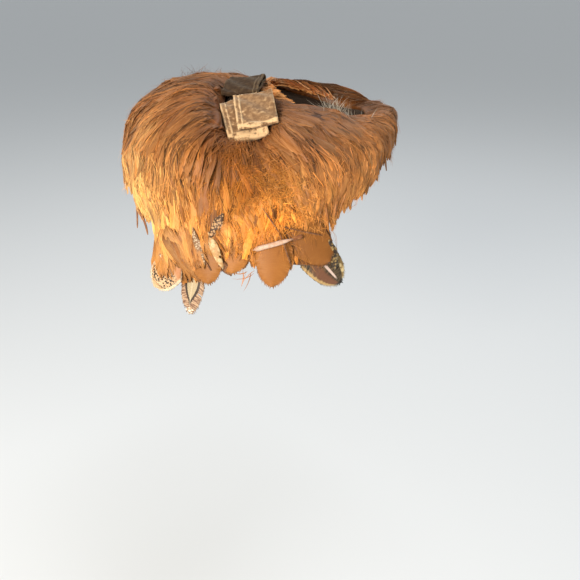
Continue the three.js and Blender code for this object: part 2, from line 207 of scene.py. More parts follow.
# %% Smooth the map
def soften(values):
    for _ in range(SOFT_ROUNDS):
        side = (np.roll(values, 1, 1) + np.roll(values, -1, 1)) / 2
        up = np.vstack([values[:1], values[:-1]])
        down = np.vstack([values[1:], values[-1:]])
        values = 0.4 * values + 0.3 * side + 0.15 * (up + down)
    return values


def close_gaps(values, reach):
    """Fills narrow gaps between two pieces of the coat, so that feathers lie across them."""
    filled = values.copy()
    for row in range(reach, len(values) - reach):
        above = values[row - reach:row].max(0)
        below = values[row + 1:row + 1 + reach].max(0)
        gap = (values[row] < 0) & (above >= 0) & (below >= 0)
        filled[row] = np.where(gap, above, filled[row])
    return filled


def hang_over(values, rounds, first_row):
    """Lets the feathers of the two lobes hang a little over their lower edge."""
    rows = np.arange(len(values))[:, None]
    for _ in range(rounds):
        above = np.vstack([values[:1], values[:-1]])
        take = (values < 0) & (above >= 0) & (above <= 1) & (rows > first_row)
        values = np.where(take, above, values)
    return values


coat_soft, under_soft = soften(coat), soften(under)
owner = hang_over(close_gaps(owner, reach=4), rounds=2, first_row=26)


def grid_place(directions):
    polar = np.arccos(np.clip(directions[..., 2], -1, 1))
    turn = np.arctan2(directions[..., 1], directions[..., 0])
    share = (polar - POLAR_START) / (POLAR_END - POLAR_START)
    row = np.clip(share * (POLAR_STEPS - 1), 0, POLAR_STEPS - 1.001)
    column = (turn + math.pi) / (2 * math.pi) * TURN_STEPS
    return row, column


def coat_height(directions, heights=coat_soft):
    row, column = grid_place(directions)
    r0, c0 = row.astype(int), np.floor(column).astype(int)
    fr, fc = row - r0, column - c0
    c0, c1 = c0 % TURN_STEPS, (c0 + 1) % TURN_STEPS
    upper = heights[r0, c0] * (1 - fc) + heights[r0, c1] * fc
    lower = heights[r0 + 1, c0] * (1 - fc) + heights[r0 + 1, c1] * fc
    return upper * (1 - fr) + lower * fr


def coat_owner(directions):
    row, column = grid_place(directions)
    return owner[np.round(row).astype(int), np.round(column).astype(int) % TURN_STEPS]


print("coat over", int((owner >= 0).sum()), "places of", owner.size)

# %% [markdown]
# The hackles all sweep away from the bow, and the further they are from it, the more they turn
# downwards. Slow waves turn them a little to one side or the other, so that they lie in tufts. One
# small field of directions says this for every place.

# %% The sweep of the feathers
BOW_PLACE, BOW_LINE = -0.008, 0.030


def smooth_step(value, low, high):
    share = np.clip((value - low) / (high - low), 0, 1)
    return share * share * (3 - 2 * share)


def sweep(points, directions):
    nearest = np.zeros_like(points)
    nearest[..., 0] = BOW_PLACE
    nearest[..., 1] = np.clip(points[..., 1], -BOW_LINE, BOW_LINE)
    away = points - nearest
    away[..., 2] = 0
    normal = head_normal(directions)
    away = unit(away)
    depth = -points[..., 2]
    fall = np.clip((depth - 0.004) / 0.045, 0, 1)[..., None] * 1.1
    down = np.zeros_like(points)
    down[..., 2] = -1
    # at the two ends the feathers bend round and follow the coat's edge
    end = smooth_step(depth, 0.012, 0.042) * smooth_step(np.abs(points[..., 0]), 0.015, 0.045)
    inward = np.zeros_like(points)
    inward[..., 0] = -np.sign(points[..., 0])
    way = away * (1 - 0.75 * end[..., None]) + fall * down + inward * 0.5 * end[..., None]
    way = unit(way - normal * (way * normal).sum(-1, keepdims=True))
    turn = swirl(points)[..., None]
    return way * np.cos(turn) + np.cross(normal, way) * np.sin(turn)


def swirl(points):
    """Slow turns of the coat, in radians, with shorter ones that part it in tufts."""
    x, y, z = points[..., 0] / MM, points[..., 1] / MM, points[..., 2] / MM
    slow = np.sin(x * 0.085 + 1.2 * np.sin(z * 0.07 + 0.4)) * np.cos(y * 0.06 + 0.8)
    short = np.sin(x * 0.30 + 1.6 * np.sin(z * 0.17))
    short = short + np.sin(z * 0.27 + y * 0.22 + 1.7 * np.sin(x * 0.14))
    return 0.30 * slow + 0.10 * short


def tuft_height(points):
    """How much a tuft stands above its neighbours."""
    x, y, z = points[..., 0] / MM, points[..., 1] / MM, points[..., 2] / MM
    wave = np.sin(x * 0.27 + 1.9 * np.sin(z * 0.12 + y * 0.05))
    wave = wave * np.sin(y * 0.2 + z * 0.19 + 1.1 * np.sin(x * 0.15))
    return 0.0014 * wave


print("the coat parts along a line", 2 * BOW_LINE, "m long")

# %% [markdown]
# Each feather is walked over the coat in short steps along the sweep, until it reaches the coat's
# edge or the flat feathers low on a side. Such limits are told by the azimuth of a place, in degrees
# round the head from the front, and its depth below the crown in millimetres.

# %% Walk over the coat
def azimuth_depth(directions):
    azimuth = np.degrees(np.arctan2(directions[..., 1], directions[..., 0]))
    return azimuth, (1 - directions[..., 2]) * HALF[2] / MM


def bare_from(directions):
    """How many millimetres below the crown the hackles end, to show the flat feathers."""
    around = np.abs(azimuth_depth(directions)[0])
    limit = 55 + 9 * np.clip((around - 87) / 6, 0, 1) + 4 * np.clip((around - 98) / 8, 0, 1)
    return np.where((around > 66) & (around < 112), limit, 200)


def hem(directions):
    """The coat hangs a little over the root of the spotted feather."""
    azimuth, depth = azimuth_depth(directions)
    return (azimuth > -129) & (azimuth < -111) & (depth > 60) & (depth < 82)


STEPS = 7


def walk(roots, lengths, lean, curl, stray, reach_nodes):
    """Paths over the coat: places, ways and how much of each path stays on the wanted nodes."""
    count = len(roots)
    direction = roots.copy()
    places, kept = [], np.ones(count)
    alive = np.ones(count, bool)
    angle = lean.copy()
    for step in range(STEPS):
        flat = head_point(direction, np.zeros(count))
        places.append(direction.copy())
        way = sweep(flat, direction)
        normal = head_normal(direction)
        side = np.cross(normal, way)
        way = way * np.cos(angle)[:, None] + side * np.sin(angle)[:, None]
        angle = angle + curl / STEPS
        moved = flat + way * (lengths / (STEPS - 1))[:, None]
        direction = head_direction(moved)
        on = np.isin(coat_owner(direction), reach_nodes) | hem(direction)
        on &= azimuth_depth(direction)[1] < bare_from(direction) + stray
        stop = alive & ~on
        kept[stop] = step / (STEPS - 1)
        alive &= on
    return np.stack(places, 1), kept


print("feathers walk in", STEPS - 1, "steps")

# %% [markdown]
# A hackle is a slim pointed feather whose barbs lie almost along its shaft, so it shines like silk.
# Every barb could be modelled, but thousands of feathers need a light pattern. Here a small grid is
# pulled into a pointed leaf with a raised middle, its rows are swept forward as barbs are, and each
# rim edge is drawn out to one ragged tooth. A few such patterns are enough for the whole coat.

# %% Feather patterns
def read_shape(shape):
    """The places and the triangles of a bmesh, as arrays."""
    bmesh.ops.triangulate(shape, faces=shape.faces)
    shape.verts.index_update()
    points = np.array([v.co[:] for v in shape.verts])
    return points, np.array([[v.index for v in f.verts] for f in shape.faces])


def leaf_width(share, fullness):
    """Half the width of a leaf one unit wide, at a share of its length."""
    return 0.5 * min(1.0, 0.3 + 2.4 * share) * max(0.01, 1 - share**fullness) ** 0.75


def leaf(name, rows, columns, fullness, seed, teeth=0, crown=0, sweep_in=0, slits=0):
    """A flat feather one unit long and wide, pointed or, with more fullness, round at its tip."""
    chance = np.random.default_rng(seed)
    shape = bmesh.new()
    across = shape.verts.layers.float.new("across")
    along = shape.verts.layers.float.new("along")
    bmesh.ops.create_grid(shape, x_segments=columns, y_segments=rows, size=0.5)
    for vert in shape.verts:
        side, share = vert.co.x * 2, vert.co.y + 0.5
        vert[across], vert[along] = side, share
        forward = sweep_in * abs(side) * (1 - share)
        raised = crown * (1 - side * side)
        vert.co = Vector((side * leaf_width(share, fullness), share + forward, raised))
    # the vane parts along a few of its rows, from the rim inwards
    for _ in range(slits):
        row = chance.integers(int(rows * 0.3), rows - 3)
        hand, depth = chance.choice([-1, 1]), chance.uniform(0.5, 0.7)
        parted = []
        for face in shape.faces:
            middle_row = sum(v[along] for v in face.verts) / len(face.verts) * rows
            middle_side = sum(v[across] for v in face.verts) / len(face.verts)
            if int(middle_row) == row and middle_side * hand > depth:
                parted.append(face)
        bmesh.ops.delete(shape, geom=parted, context="FACES")
    if teeth:
        edges = [e for e in shape.edges if e.is_boundary]
        rim = [e for e in edges if min(abs(v[across]) for v in e.verts) > 0.99]
        for edge in rim:
            grow_tooth(shape, edge, teeth, across, along, chance)
    points, faces = read_shape(shape)
    uvs = np.array([(v[across] / 2 + 0.5, v[along]) for v in shape.verts])
    shape.free()
    print(name, "has", len(faces), "triangles")
    return points, faces, uvs


def grow_tooth(shape, edge, teeth, across, along, chance):
    middle = (edge.verts[0].co + edge.verts[1].co) / 2
    share = (edge.verts[0][along] + edge.verts[1][along]) / 2
    hand = math.copysign(1, middle.x)
    grown = bmesh.ops.extrude_edge_only(shape, edges=[edge])
    tips = [v for v in grown["geom"] if isinstance(v, bmesh.types.BMVert)]
    reach = teeth * chance.uniform(0.4, 1.3)
    forward, raised = chance.uniform(0.3, 1.0) * 0.07, chance.uniform(-0.06, 0.02)
    place = middle + Vector((hand * reach, forward, raised))
    for tip in tips:
        tip[across], tip[along] = hand * 1.1, share
    bmesh.ops.pointmerge(shape, verts=tips, merge_co=place)


HACKLES = [leaf("hackle_%d" % n, 5, 2, 1.5 + 0.4 * n, 40 + n, teeth=0.03, crown=0.09, sweep_in=0.10)
           for n in range(4)]
COVERTS = [leaf("covert_%d" % n, 8, 3, 3.4 + 0.6 * n, 44 + n, teeth=0.05, crown=0.07, sweep_in=0.16)
           for n in range(2)]
HAIRS = [leaf("hair", 5, 1, 1.4, 50)]

# %% [markdown]
# A feather that is laid follows its path at the coat's height, with its root a little sunk and its
# tip lifted off the coat, so that the next row shows its own shadow.

# %% Lay feathers on the coat
ROOT_DEPTH = 0.0012
# What a feather cut short at the coat's edge keeps at least of its length there, and of its width
TRIMMED_LENGTH, TRIMMED_WIDTH = 0.76, 0.72


def lay(name, patterns, feathers, reach_nodes, cut, ground=coat_soft):
    """Lays a set of feathers, without those that would be cut shorter than a share of their length."""
    steer = [feathers[key] for key in ("lean", "curl", "stray")]
    _, kept = walk(feathers["roots"], feathers["lengths"], *steer, reach_nodes)
    use = kept > cut
    chosen = {key: value[use] for key, value in feathers.items()}
    # feathers cut short end at different lengths, so the edge isn't even
    trim = np.where(kept[use] < 1, chosen["tint"][:, 3], 1.0)
    chosen["lengths"] = chosen["lengths"] * kept[use] * (TRIMMED_LENGTH + (1 - TRIMMED_LENGTH) * trim)
    chosen["widths"] = chosen["widths"] * np.where(kept[use] < 1, TRIMMED_WIDTH, 1.0)
    steer = [chosen[key] for key in ("lean", "curl", "stray")]
    paths, _ = walk(chosen["roots"], chosen["lengths"], *steer, reach_nodes)
    heights = np.stack([coat_height(paths[:, k], ground) for k in range(STEPS)], 1)
    heights = heights + tuft_height(head_point(paths, np.zeros(paths.shape[:2])))
    share = np.linspace(0, 1, STEPS)[None, :]
    heights = heights + chosen["base"][:, None] + chosen["lift"][:, None] * share**2
    heights[:, 0] -= ROOT_DEPTH
    return bend(name, patterns, head_point(paths, heights), head_normal(paths), chosen)


# %% [markdown]
# The flat pattern is bent along its path: its length follows the path and its width goes across it.
# All feathers of a piece are joined in one mesh, with a UV map that runs along each feather and a
# colour attribute that gives each its own tint, and in its fourth channel its own chance.

# %% Bend patterns into one mesh
def bend(name, patterns, line, normal, chosen):
    """Bends patterns along lines of places, and joins them in one mesh."""
    chance = np.random.default_rng(len(name) * 101 + len(line))
    ahead = unit(np.gradient(line, axis=1))
    side = unit(np.cross(ahead, normal))
    normal = np.cross(side, ahead)
    which = chance.integers(0, len(patterns), len(line))
    points, faces, uvs, tints = [], [], [], []
    offset = 0
    for number, (shape, triangles, flat_uv) in enumerate(patterns):
        mine = np.nonzero(which == number)[0]
        if not len(mine):
            continue
        at = np.clip(shape[:, 1], 0, 1) * (STEPS - 1)
        k = np.minimum(at.astype(int), STEPS - 2)
        f = (at - k)[None, :, None]

        def along(values):
            return values[mine][:, k] * (1 - f) + values[mine][:, k + 1] * f

        lengths = chosen["lengths"][mine][:, None, None]
        widths = chosen["widths"][mine][:, None, None]
        over = (shape[:, 1] - np.clip(shape[:, 1], 0, 1))[None, :, None]
        mirror = np.ones((1, 1, 1))
        if len(line) > 1:
            mirror = chance.choice([-1, 1], len(mine))[:, None, None]
        x = shape[None, :, 0:1] * widths * mirror
        z = shape[None, :, 2:3] * widths
        turn = chosen["roll"][mine][:, None, None]
        place = along(line) + along(ahead) * over * lengths
        place = place + along(side) * (x * np.cos(turn) - z * np.sin(turn))
        place = place + along(normal) * (z * np.cos(turn) + x * np.sin(turn))
        points.append(place.reshape(-1, 3))
        shifts = offset + np.arange(len(mine))[:, None, None] * len(shape)
        flipped = np.where(mirror < 0, triangles[None, :, ::-1], triangles[None])
        faces.append((flipped + shifts).reshape(-1, 3))
        uvs.append(np.tile(flat_uv, (len(mine), 1)))
        tints.append(np.repeat(chosen["tint"][mine], len(shape), 0))
        offset += len(mine) * len(shape)
    return build_mesh(name, *(np.concatenate(part) for part in (points, faces, uvs, tints)))


def build_mesh(name, points, faces, uvs, tints):
    mesh = bpy.data.meshes.new(name)
    mesh.vertices.add(len(points))
    mesh.vertices.foreach_set("co", points.astype(np.float32).ravel())
    mesh.loops.add(len(faces) * 3)
    mesh.loops.foreach_set("vertex_index", faces.astype(np.int32).ravel())
    mesh.polygons.add(len(faces))
    mesh.polygons.foreach_set("loop_start", np.arange(0, len(faces) * 3, 3, dtype=np.int32))
    mesh.update(calc_edges=True)
    layer = mesh.uv_layers.new(name="vane")
    layer.data.foreach_set("uv", uvs[faces.ravel()].astype(np.float32).ravel())
    colour = mesh.color_attributes.new("tint", "FLOAT_COLOR", "POINT")
    colour.data.foreach_set("color", tints.astype(np.float32).ravel())
    mesh.shade_smooth()
    piece = bpy.data.objects.new(name, mesh)
    bpy.context.scene.collection.objects.link(piece)
    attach(piece, "root")
    print(name, len(faces), "triangles")
    return piece


# %% [markdown]
# Dyed feathers are silky: fine barbs of lighter and darker orange run side by side, the roots are
# browner, and the lighter streaks are partly the barbs' own tone and partly painted sheen. The
# streaks follow the UV map, so they slope away from the shaft as barbs do. They are one node group,
# because the hackles, the flat feathers and the pheasant feathers all use it with their own fineness
# and slope.

# %% Node helpers
def new_group(name, inputs, outputs):
    group = bpy.data.node_groups.new(name, "ShaderNodeTree")
    for label, kind, value in inputs:
        socket = group.interface.new_socket(label, in_out="INPUT", socket_type=kind)
        socket.default_value = value
    for label, kind in outputs:
        group.interface.new_socket(label, in_out="OUTPUT", socket_type=kind)
    return group, group.nodes.new("NodeGroupInput"), group.nodes.new("NodeGroupOutput")


def put(tree, value, socket):
    if isinstance(value, (int, float, tuple)):
        socket.default_value = value
    else:
        tree.links.new(value, socket)


def math_node(tree, operation, a, b=None, c=None):
    node = tree.nodes.new("ShaderNodeMath")
    node.operation = operation
    for socket, value in zip(node.inputs, (a, b, c)):
        if value is not None:
            put(tree, value, socket)
    return node.outputs[0]


# Mix nodes keep one set of sockets per kind of value, so the colour ones are found by type
def mix_colour(tree, factor, a, b, mode="MIX"):
    node = tree.nodes.new("ShaderNodeMix")
    node.data_type = "RGBA"
    node.blend_type = mode
    sockets = [s for s in node.inputs if s.enabled]
    for socket, value in zip(sockets, (factor, a, b)):
        put(tree, (*value, 1) if isinstance(value, tuple) else value, socket)
    return [s for s in node.outputs if s.enabled][0]


def vector_node(tree, x, y, z):
    node = tree.nodes.new("ShaderNodeCombineXYZ")
    for socket, value in zip(node.inputs, (x, y, z)):
        put(tree, value, socket)
    return node.outputs[0]


def noise_node(tree, vector, scale, detail):
    node = tree.nodes.new("ShaderNodeTexNoise")
    node.inputs["Scale"].default_value = scale
    node.inputs["Detail"].default_value = detail
    tree.links.new(vector, node.inputs["Vector"])
    return node.outputs["Fac"]


def ramp(tree, value, low, high):
    """A smooth mask: 0 below low, 1 above high."""
    node = tree.nodes.new("ShaderNodeMapRange")
    node.interpolation_type = "SMOOTHSTEP"
    put(tree, value, node.inputs["Value"])
    node.inputs["From Min"].default_value = low
    node.inputs["From Max"].default_value = high
    return node.outputs["Result"]


def both(tree, a, b):
    """The overlap of two masks, or a mask made weaker."""
    return math_node(tree, "MULTIPLY", a, b)


def invert(tree, value):
    """Turns a mask round."""
    return math_node(tree, "SUBTRACT", 1.0, value)


def object_place(tree):
    return tree.nodes.new("ShaderNodeTexCoord").outputs["Object"]


def specks(tree, size_mm, low, high):
    """A mask of small round specks."""
    node = tree.nodes.new("ShaderNodeTexVoronoi")
    node.inputs["Scale"].default_value = 1000 / size_mm
    tree.links.new(object_place(tree), node.inputs["Vector"])
    return invert(tree, ramp(tree, node.outputs["Distance"], low, high))


def shaken(tree, value, streak, amount):
    """A distance roughened by the barb streaks."""
    return math_node(tree, "ADD", value, math_node(tree, "MULTIPLY_ADD", streak, amount, -amount / 2))


def add_bump(tree, shader, height, strength, distance):
    bump = tree.nodes.new("ShaderNodeBump")
    bump.inputs["Strength"].default_value = strength
    bump.inputs["Distance"].default_value = distance
    put(tree, height, bump.inputs["Height"])
    put(tree, bump.outputs["Normal"], shader.inputs["Normal"])


# %% [markdown]
# A streak is noise that is stretched along the barbs and starts anew on every feather. The group also
# gives slow patches over the whole coat, and how far a place is to the side and along its feather.

# %% Barb streaks, shared by the feather materials
streaks, streak_in, streak_out = new_group(
    "barb_streaks",
    [("UV", "NodeSocketVector", (0, 0, 0)), ("Fineness", "NodeSocketFloat", 20.0),
     ("Slope", "NodeSocketFloat", 0.5), ("Chance", "NodeSocketFloat", 0.0)],
    [("Streak", "NodeSocketFloat"), ("Patch", "NodeSocketFloat"), ("Side", "NodeSocketFloat"),
     ("Along", "NodeSocketFloat")],
)
split_uv = streaks.nodes.new("ShaderNodeSeparateXYZ")
streaks.links.new(streak_in.outputs["UV"], split_uv.inputs[0])
off_shaft = math_node(streaks, "ABSOLUTE", math_node(streaks, "SUBTRACT", split_uv.outputs[0], 0.5))
slant = both(streaks, off_shaft, streak_in.outputs["Slope"])
barb = math_node(streaks, "SUBTRACT", split_uv.outputs[1], slant)
barb = both(streaks, barb, streak_in.outputs["Fineness"])
own = both(streaks, streak_in.outputs["Chance"], 57.0)
barb_place = vector_node(streaks, barb, both(streaks, split_uv.outputs[0], 3.0), own)
put(streaks, noise_node(streaks, barb_place, 1.0, 3.0), streak_out.inputs["Streak"])
put(streaks, noise_node(streaks, object_place(streaks), 55.0, 2.0), streak_out.inputs["Patch"])
put(streaks, both(streaks, off_shaft, 2.0), streak_out.inputs["Side"])
put(streaks, split_uv.outputs[1], streak_out.inputs["Along"])
print(streaks.name, "gives", [socket.name for socket in streak_out.inputs if socket.name])

# %% [markdown]
# Every feather material starts with the same soft sheen and takes its streaks from the group. Dyed
# ones go from a browner root to the middle colour, with lighter streaks that are partly painted sheen,
# and some darker patches.

# %% Dyed feather materials
def start_material(name, roughness, sheen, sheen_tint, specular=0.3):
    material = bpy.data.materials.new(name)
    material.use_nodes = True
    shader = material.node_tree.nodes["Principled BSDF"]
    shader.inputs["Roughness"].default_value = roughness
    shader.inputs["Sheen Weight"].default_value = sheen
    shader.inputs["Sheen Roughness"].default_value = 0.4
    shader.inputs["Sheen Tint"].default_value = (*sheen_tint, 1)
    shader.inputs["Specular IOR Level"].default_value = specular
    return material, material.node_tree, shader


def vane_uv(tree):
    node = tree.nodes.new("ShaderNodeUVMap")
    node.uv_map = "vane"
    return node.outputs[0]


def vane_place(tree):
    """How far a place is across the vane and along it."""
    node = tree.nodes.new("ShaderNodeSeparateXYZ")
    put(tree, vane_uv(tree), node.inputs[0])
    return node.outputs[0], node.outputs[1]


def place_streaks(tree, fineness, slope):
    tint = tree.nodes.new("ShaderNodeAttribute")
    tint.attribute_name = "tint"
    group = tree.nodes.new("ShaderNodeGroup")
    group.node_tree = streaks
    group.inputs["Fineness"].default_value = fineness
    group.inputs["Slope"].default_value = slope
    tree.links.new(vane_uv(tree), group.inputs["UV"])
    tree.links.new(tint.outputs["Alpha"], group.inputs["Chance"])
    return group.outputs, tint.outputs["Color"]


def finish_feather(tree, shader, colour, tint, height, strength):
    put(tree, mix_colour(tree, 1.0, colour, tint, "MULTIPLY"), shader.inputs["Base Color"])
    add_bump(tree, shader, height, strength, 0.0005)


def dyed_feather(name, root, middle, light, fineness, slope, roughness, strength):
    """A silky dyed feather whose tint comes from the piece and whose streaks follow its barbs."""
    material, tree, shader = start_material(name, roughness, 0.15, (1.0, 0.75, 0.55), 0.22)
    marks, tint = place_streaks(tree, fineness, slope)
    body = mix_colour(tree, ramp(tree, marks["Along"], 0.0, 0.65), root, middle)
    # lighter streaks along the barbs: partly barb tone, partly painted sheen
    barb_tone_and_sheen = both(tree, ramp(tree, marks["Streak"], 0.42, 0.68), 0.7)
    body = mix_colour(tree, barb_tone_and_sheen, body, light)
    dark = both(tree, ramp(tree, marks["Patch"], 0.45, 0.7), 0.45)
    body = mix_colour(tree, dark, body, root)
    finish_feather(tree, shader, body, tint, marks["Streak"], strength)
    return material


HACKLE = dyed_feather("hackle", (0.25, 0.082, 0.024), (0.56, 0.215, 0.055), (0.80, 0.385, 0.120),
                      14, 1.1, 0.42, 0.3)
VANE = dyed_feather("flat_vane", (0.44, 0.155, 0.042), (0.56, 0.210, 0.056), (0.68, 0.280, 0.084),
                    120, 0.0, 0.45, 0.2)
print("dyed feather materials made")

# %% [markdown]
# Under the hackles lies down and backing. Each coat solid of the frame gets a rounded copy, pulled a
# little inwards, so no bare solid shows where feathers part. Its colour is darkened as painted shade,
# the shadow between the feathers.

# %% Down under the feathers
BRIGHTEST = 1.6


def tint_colours(count, chance, spread, level):
    """A tint for each feather, and in the fourth channel its own chance."""
    value = chance.normal(level, spread, count)
    warm = chance.normal(0, 0.04, count)
    own = chance.uniform(0, 1, count)
    return np.clip(np.stack([value, value * (1 - warm), value * (1 - warm * 2.5), own], -1), 0.0, BRIGHTEST)


# the down's deep brown is painted shade between the feathers
DOWN_SHADE_TINT = [0.34, 0.27, 0.18, 0.5]
DOWN_SUNK = 0.0018
DOWN_STAYS = 0.003


def down_piece(name):
    shape = bmesh.new()
    shape.from_mesh(nodes[name].data)
    bmesh.ops.remove_doubles(shape, verts=shape.verts, dist=1e-6)
    for _ in range(3):
        bmesh.ops.smooth_vert(shape, verts=shape.verts, factor=0.5, use_axis_x=True, use_axis_y=True,
                              use_axis_z=True)
    bmesh.ops.recalc_face_normals(shape, faces=shape.faces)
    points, faces = read_shape(shape)
    shape.free()
    direction = head_direction(points)
    flat = head_point(direction, np.zeros(len(points)))
    height = ((points - flat) * head_normal(direction)).sum(-1)
    # low places stay where they are, on the cap
    points = points - head_normal(direction) * np.clip(height - DOWN_STAYS, 0, DOWN_SUNK)[:, None]
    way = sweep(flat, direction)
    across = np.cross(head_normal(direction), way)
    uvs = np.stack([(points * across).sum(-1) * 30, (points * way).sum(-1) * 30], -1)
    piece = build_mesh(name + "_down", points, faces, uvs, np.tile(DOWN_SHADE_TINT, (len(points), 1)))
    piece.data.materials.append(HACKLE)
    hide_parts(name)


for name in COAT_NODES:
    down_piece(name)

# %% [markdown]
# The colour is browner on the crown, as painted shade, and more golden low on the sides, as painted
# light, with softly bounded patches of deeper and paler colour; a pool low in the middle and a band
# and a patch low at the rear are painted highlights. On the wearer's right a band below the bow is
# ruffled, and fluff lies on the panel. All are bells over azimuth and depth, because nothing on the
# coat has a hard edge.

# %% Roots, dye and painted light
TRIED_AT_ONCE = 4000
LOWEST_ROOT = math.cos(math.radians(92))


def scatter_roots(count, owners, chance, zone=None):
    """Directions spread evenly over the wanted nodes, fewer where the zone says less than 1."""
    found = []
    while sum(len(f) for f in found) < count:
        level = chance.uniform(LOWEST_ROOT, 1, TRIED_AT_ONCE)
        turn = chance.uniform(-math.pi, math.pi, TRIED_AT_ONCE)
        ring = np.sqrt(1 - level**2)
        direction = np.stack([ring * np.cos(turn), ring * np.sin(turn), level], -1)
        wanted = np.isin(coat_owner(direction), owners)
        if zone is not None:
            wanted &= chance.uniform(0, 1, len(direction)) < zone(direction)
        found.append(direction[wanted])
    return np.concatenate(found)[:count]


def bell(value, middle, reach):
    return np.exp(-(((value - middle) / reach) ** 2))


# Patches of deeper or paler colour, some of them painted highlights: their azimuth and depth, how far
# they reach, and what they change in red, green and blue
# the crown's colour is painted shade and the low sides' colour is painted light
CROWN_PAINTED_SHADE, LOW_PAINTED_LIGHT = np.array([0.50, 0.49, 0.54]), np.array([1.04, 1.05, 0.82])
DYE_AND_LIGHT_PATCHES = [
    ((103, 30), (17, 13), (-0.26, -0.44, -0.72)),
    # a painted pool of light low in the middle, where the key falls
    ((93, 49), (17, 8), (0.66, 0.52, -0.08)),
    ((98, 58), (12, 7), (-0.42, -0.44, -0.26)),
    ((76, 47), (9, 7), (-0.20, -0.20, -0.12)),
    ((92, 35), (13, 7), (0.22, 0.27, 0.0)),
    ((69, 25), (15, 8), (0.30, 0.25, 0.20)),
    ((84, 8), (22, 6), (-0.22, -0.20, -0.16)),
    ((80, 15), (12, 6), (-0.30, -0.26, -0.16)),
    ((47, 25), (18, 14), (0.36, 0.36, 0.42)),
    ((137, 14), (14, 8), (0.30, 0.22, -0.04)),
    ((124, 39), (16, 11), (0.52, 0.70, 0.66)),
    # a painted band of highlight across the rear lobe's underside
    ((128, 53), (13, 6), (0.08, 0.16, 0.35)),
    ((114, 66), (14, 9), (-0.57, -0.57, -0.46)),
    ((118, 52), (9, 7), (-0.14, -0.16, -0.08)),
    # a painted peach highlight low on the rear lobe
    ((151, 34), (17, 14), (0.66, 1.25, 2.0)),
]


def ruffled(directions):
    """How ruffled the coat is at a place, from 0 to 1: a slanting band under the bow."""
    azimuth, depth = azimuth_depth(directions)
    return bell(azimuth, -90 + (depth - 37) * 0.8, 7) * bell(depth, 37, 12)


def fluffy(directions):
    """Where soft fluff lies over the panel, from 0 to 1."""
    azimuth, depth = azimuth_depth(directions)
    return bell(azimuth, -91, 9) * bell(depth, 53, 9)


def dye_and_painted_light(directions, tint):
    """Browner on the crown as painted shade, deep orange under the bow, golden below that as painted light,
    paler at the rear as a painted highlight.
    """
    azimuth, depth = azimuth_depth(directions)
    around = np.abs(azimuth)
    low = np.clip((depth - 12) / 40, 0, 1)[:, None]
    shade = (1 - low) * CROWN_PAINTED_SHADE + low * LOW_PAINTED_LIGHT
    for middle, reach, change in DYE_AND_LIGHT_PATCHES:
        patch = bell(around, middle[0], reach[0]) * bell(depth, middle[1], reach[1])
        shade = shade * (1 + patch[:, None] * np.array(change))
    tint = tint.copy()
    tint[:, :3] *= shade * (1 + 0.24 * clumps(directions))[:, None]
    return tint


def clumps(directions):
    """Slow changes of tone over the coat, from -1 to 1."""
    x, y, z = (head_point(directions, np.zeros(len(directions))) / MM).T
    wave = np.sin(x * 0.19 + 1.3 * np.sin(z * 0.13))
    wave = wave * np.sin(z * 0.23 + 1.6 * np.sin(y * 0.11 + x * 0.05))
    return wave + 0.5 * np.sin(x * 0.47 - y * 0.31 + 2.0 * np.sin(z * 0.29))


print(len(DYE_AND_LIGHT_PATCHES), "patches of dye")

# %% [markdown]
# The hackles themselves: roots are scattered evenly over each lobe, each root gets a length, a lean
# and a curl, and the walk cuts short any feather that would run past the lobe's edge. In the ruffled
# band they are short and curled.

# %% Hackles of the lobes and panels
def hackle_set(roots, chance, length_mm, width_mm):
    count = len(roots)
    ruffle = ruffled(roots)
    tint = tint_colours(count, chance, 0.13, 1.0)
    # one in twenty is much darker
    tint[:, :3] *= np.where(chance.uniform(0, 1, count) < 0.05, 0.6, 1.0)[:, None]
    return dict(
        roots=roots,
        lengths=chance.uniform(*length_mm, count) * MM * (1 - 0.6 * ruffle),
        widths=chance.uniform(*width_mm, count) * MM * (1 - 0.6 * ruffle),
        lean=chance.normal(0, 0.12, count) + ruffle * chance.normal(0, 0.35, count),
        curl=chance.normal(0, 0.22, count) + ruffle * chance.normal(0, 0.7, count),
        base=chance.uniform(-0.0012, 0.0003, count),
        lift=chance.uniform(0.0, 0.0007, count) + ruffle * chance.uniform(0, 0.0012, count),
        stray=chance.normal(0, 2.2, count),
        roll=chance.normal(0, 0.09, count),
        tint=dye_and_painted_light(roots, tint),
    )


# A stray this long, in millimetres, lets a feather run on over the flat feathers
OVER_THE_EDGE = 200.0
# The hackles cover the roots of the flat feathers by this much
COVERED = 7
SIDES = (("right", 2), ("left", 3))
ALL_NODES = [0, 1, 2, 3]


def coat_of(patterns, name, count, owners, reach, length_mm, width_mm, seed, zone=None, stray=None,
            base_mm=None, cut=0.35, ground=coat_soft):
    """Feathers rooted on some nodes, numbered as in COAT_NODES, that may reach over others."""
    chance = np.random.default_rng(seed)
    feathers = hackle_set(scatter_roots(count, owners, chance, zone), chance, length_mm, width_mm)
    if base_mm:
        feathers["base"] = chance.uniform(*base_mm, count) * MM
    if stray:
        feathers["stray"] = np.full(count, stray)
    piece = lay(name, patterns, feathers, reach, cut, ground)
    piece.data.materials.append(HACKLE)


# The lower middle of a panel is left to its flat feathers
def off_flat_ones(directions):
    return azimuth_depth(directions)[1] <= bare_from(directions) - COVERED


# Round the bow short feathers cover the roots of the long ones
def near_bow(directions):
    x, y, _ = (head_point(directions, np.zeros(len(directions))) / MM).T
    return np.hypot(x - BOW_PLACE / MM, np.maximum(np.abs(y) - BOW_LINE / MM, 0)) < 16


# Some hackles lie under the flat feathers, down to the panel's lower edge
def behind_flat_feathers(directions):
    azimuth, depth = azimuth_depth(directions)
    return (np.abs(azimuth) > 84) & (np.abs(azimuth) < 113) & (depth > 46)


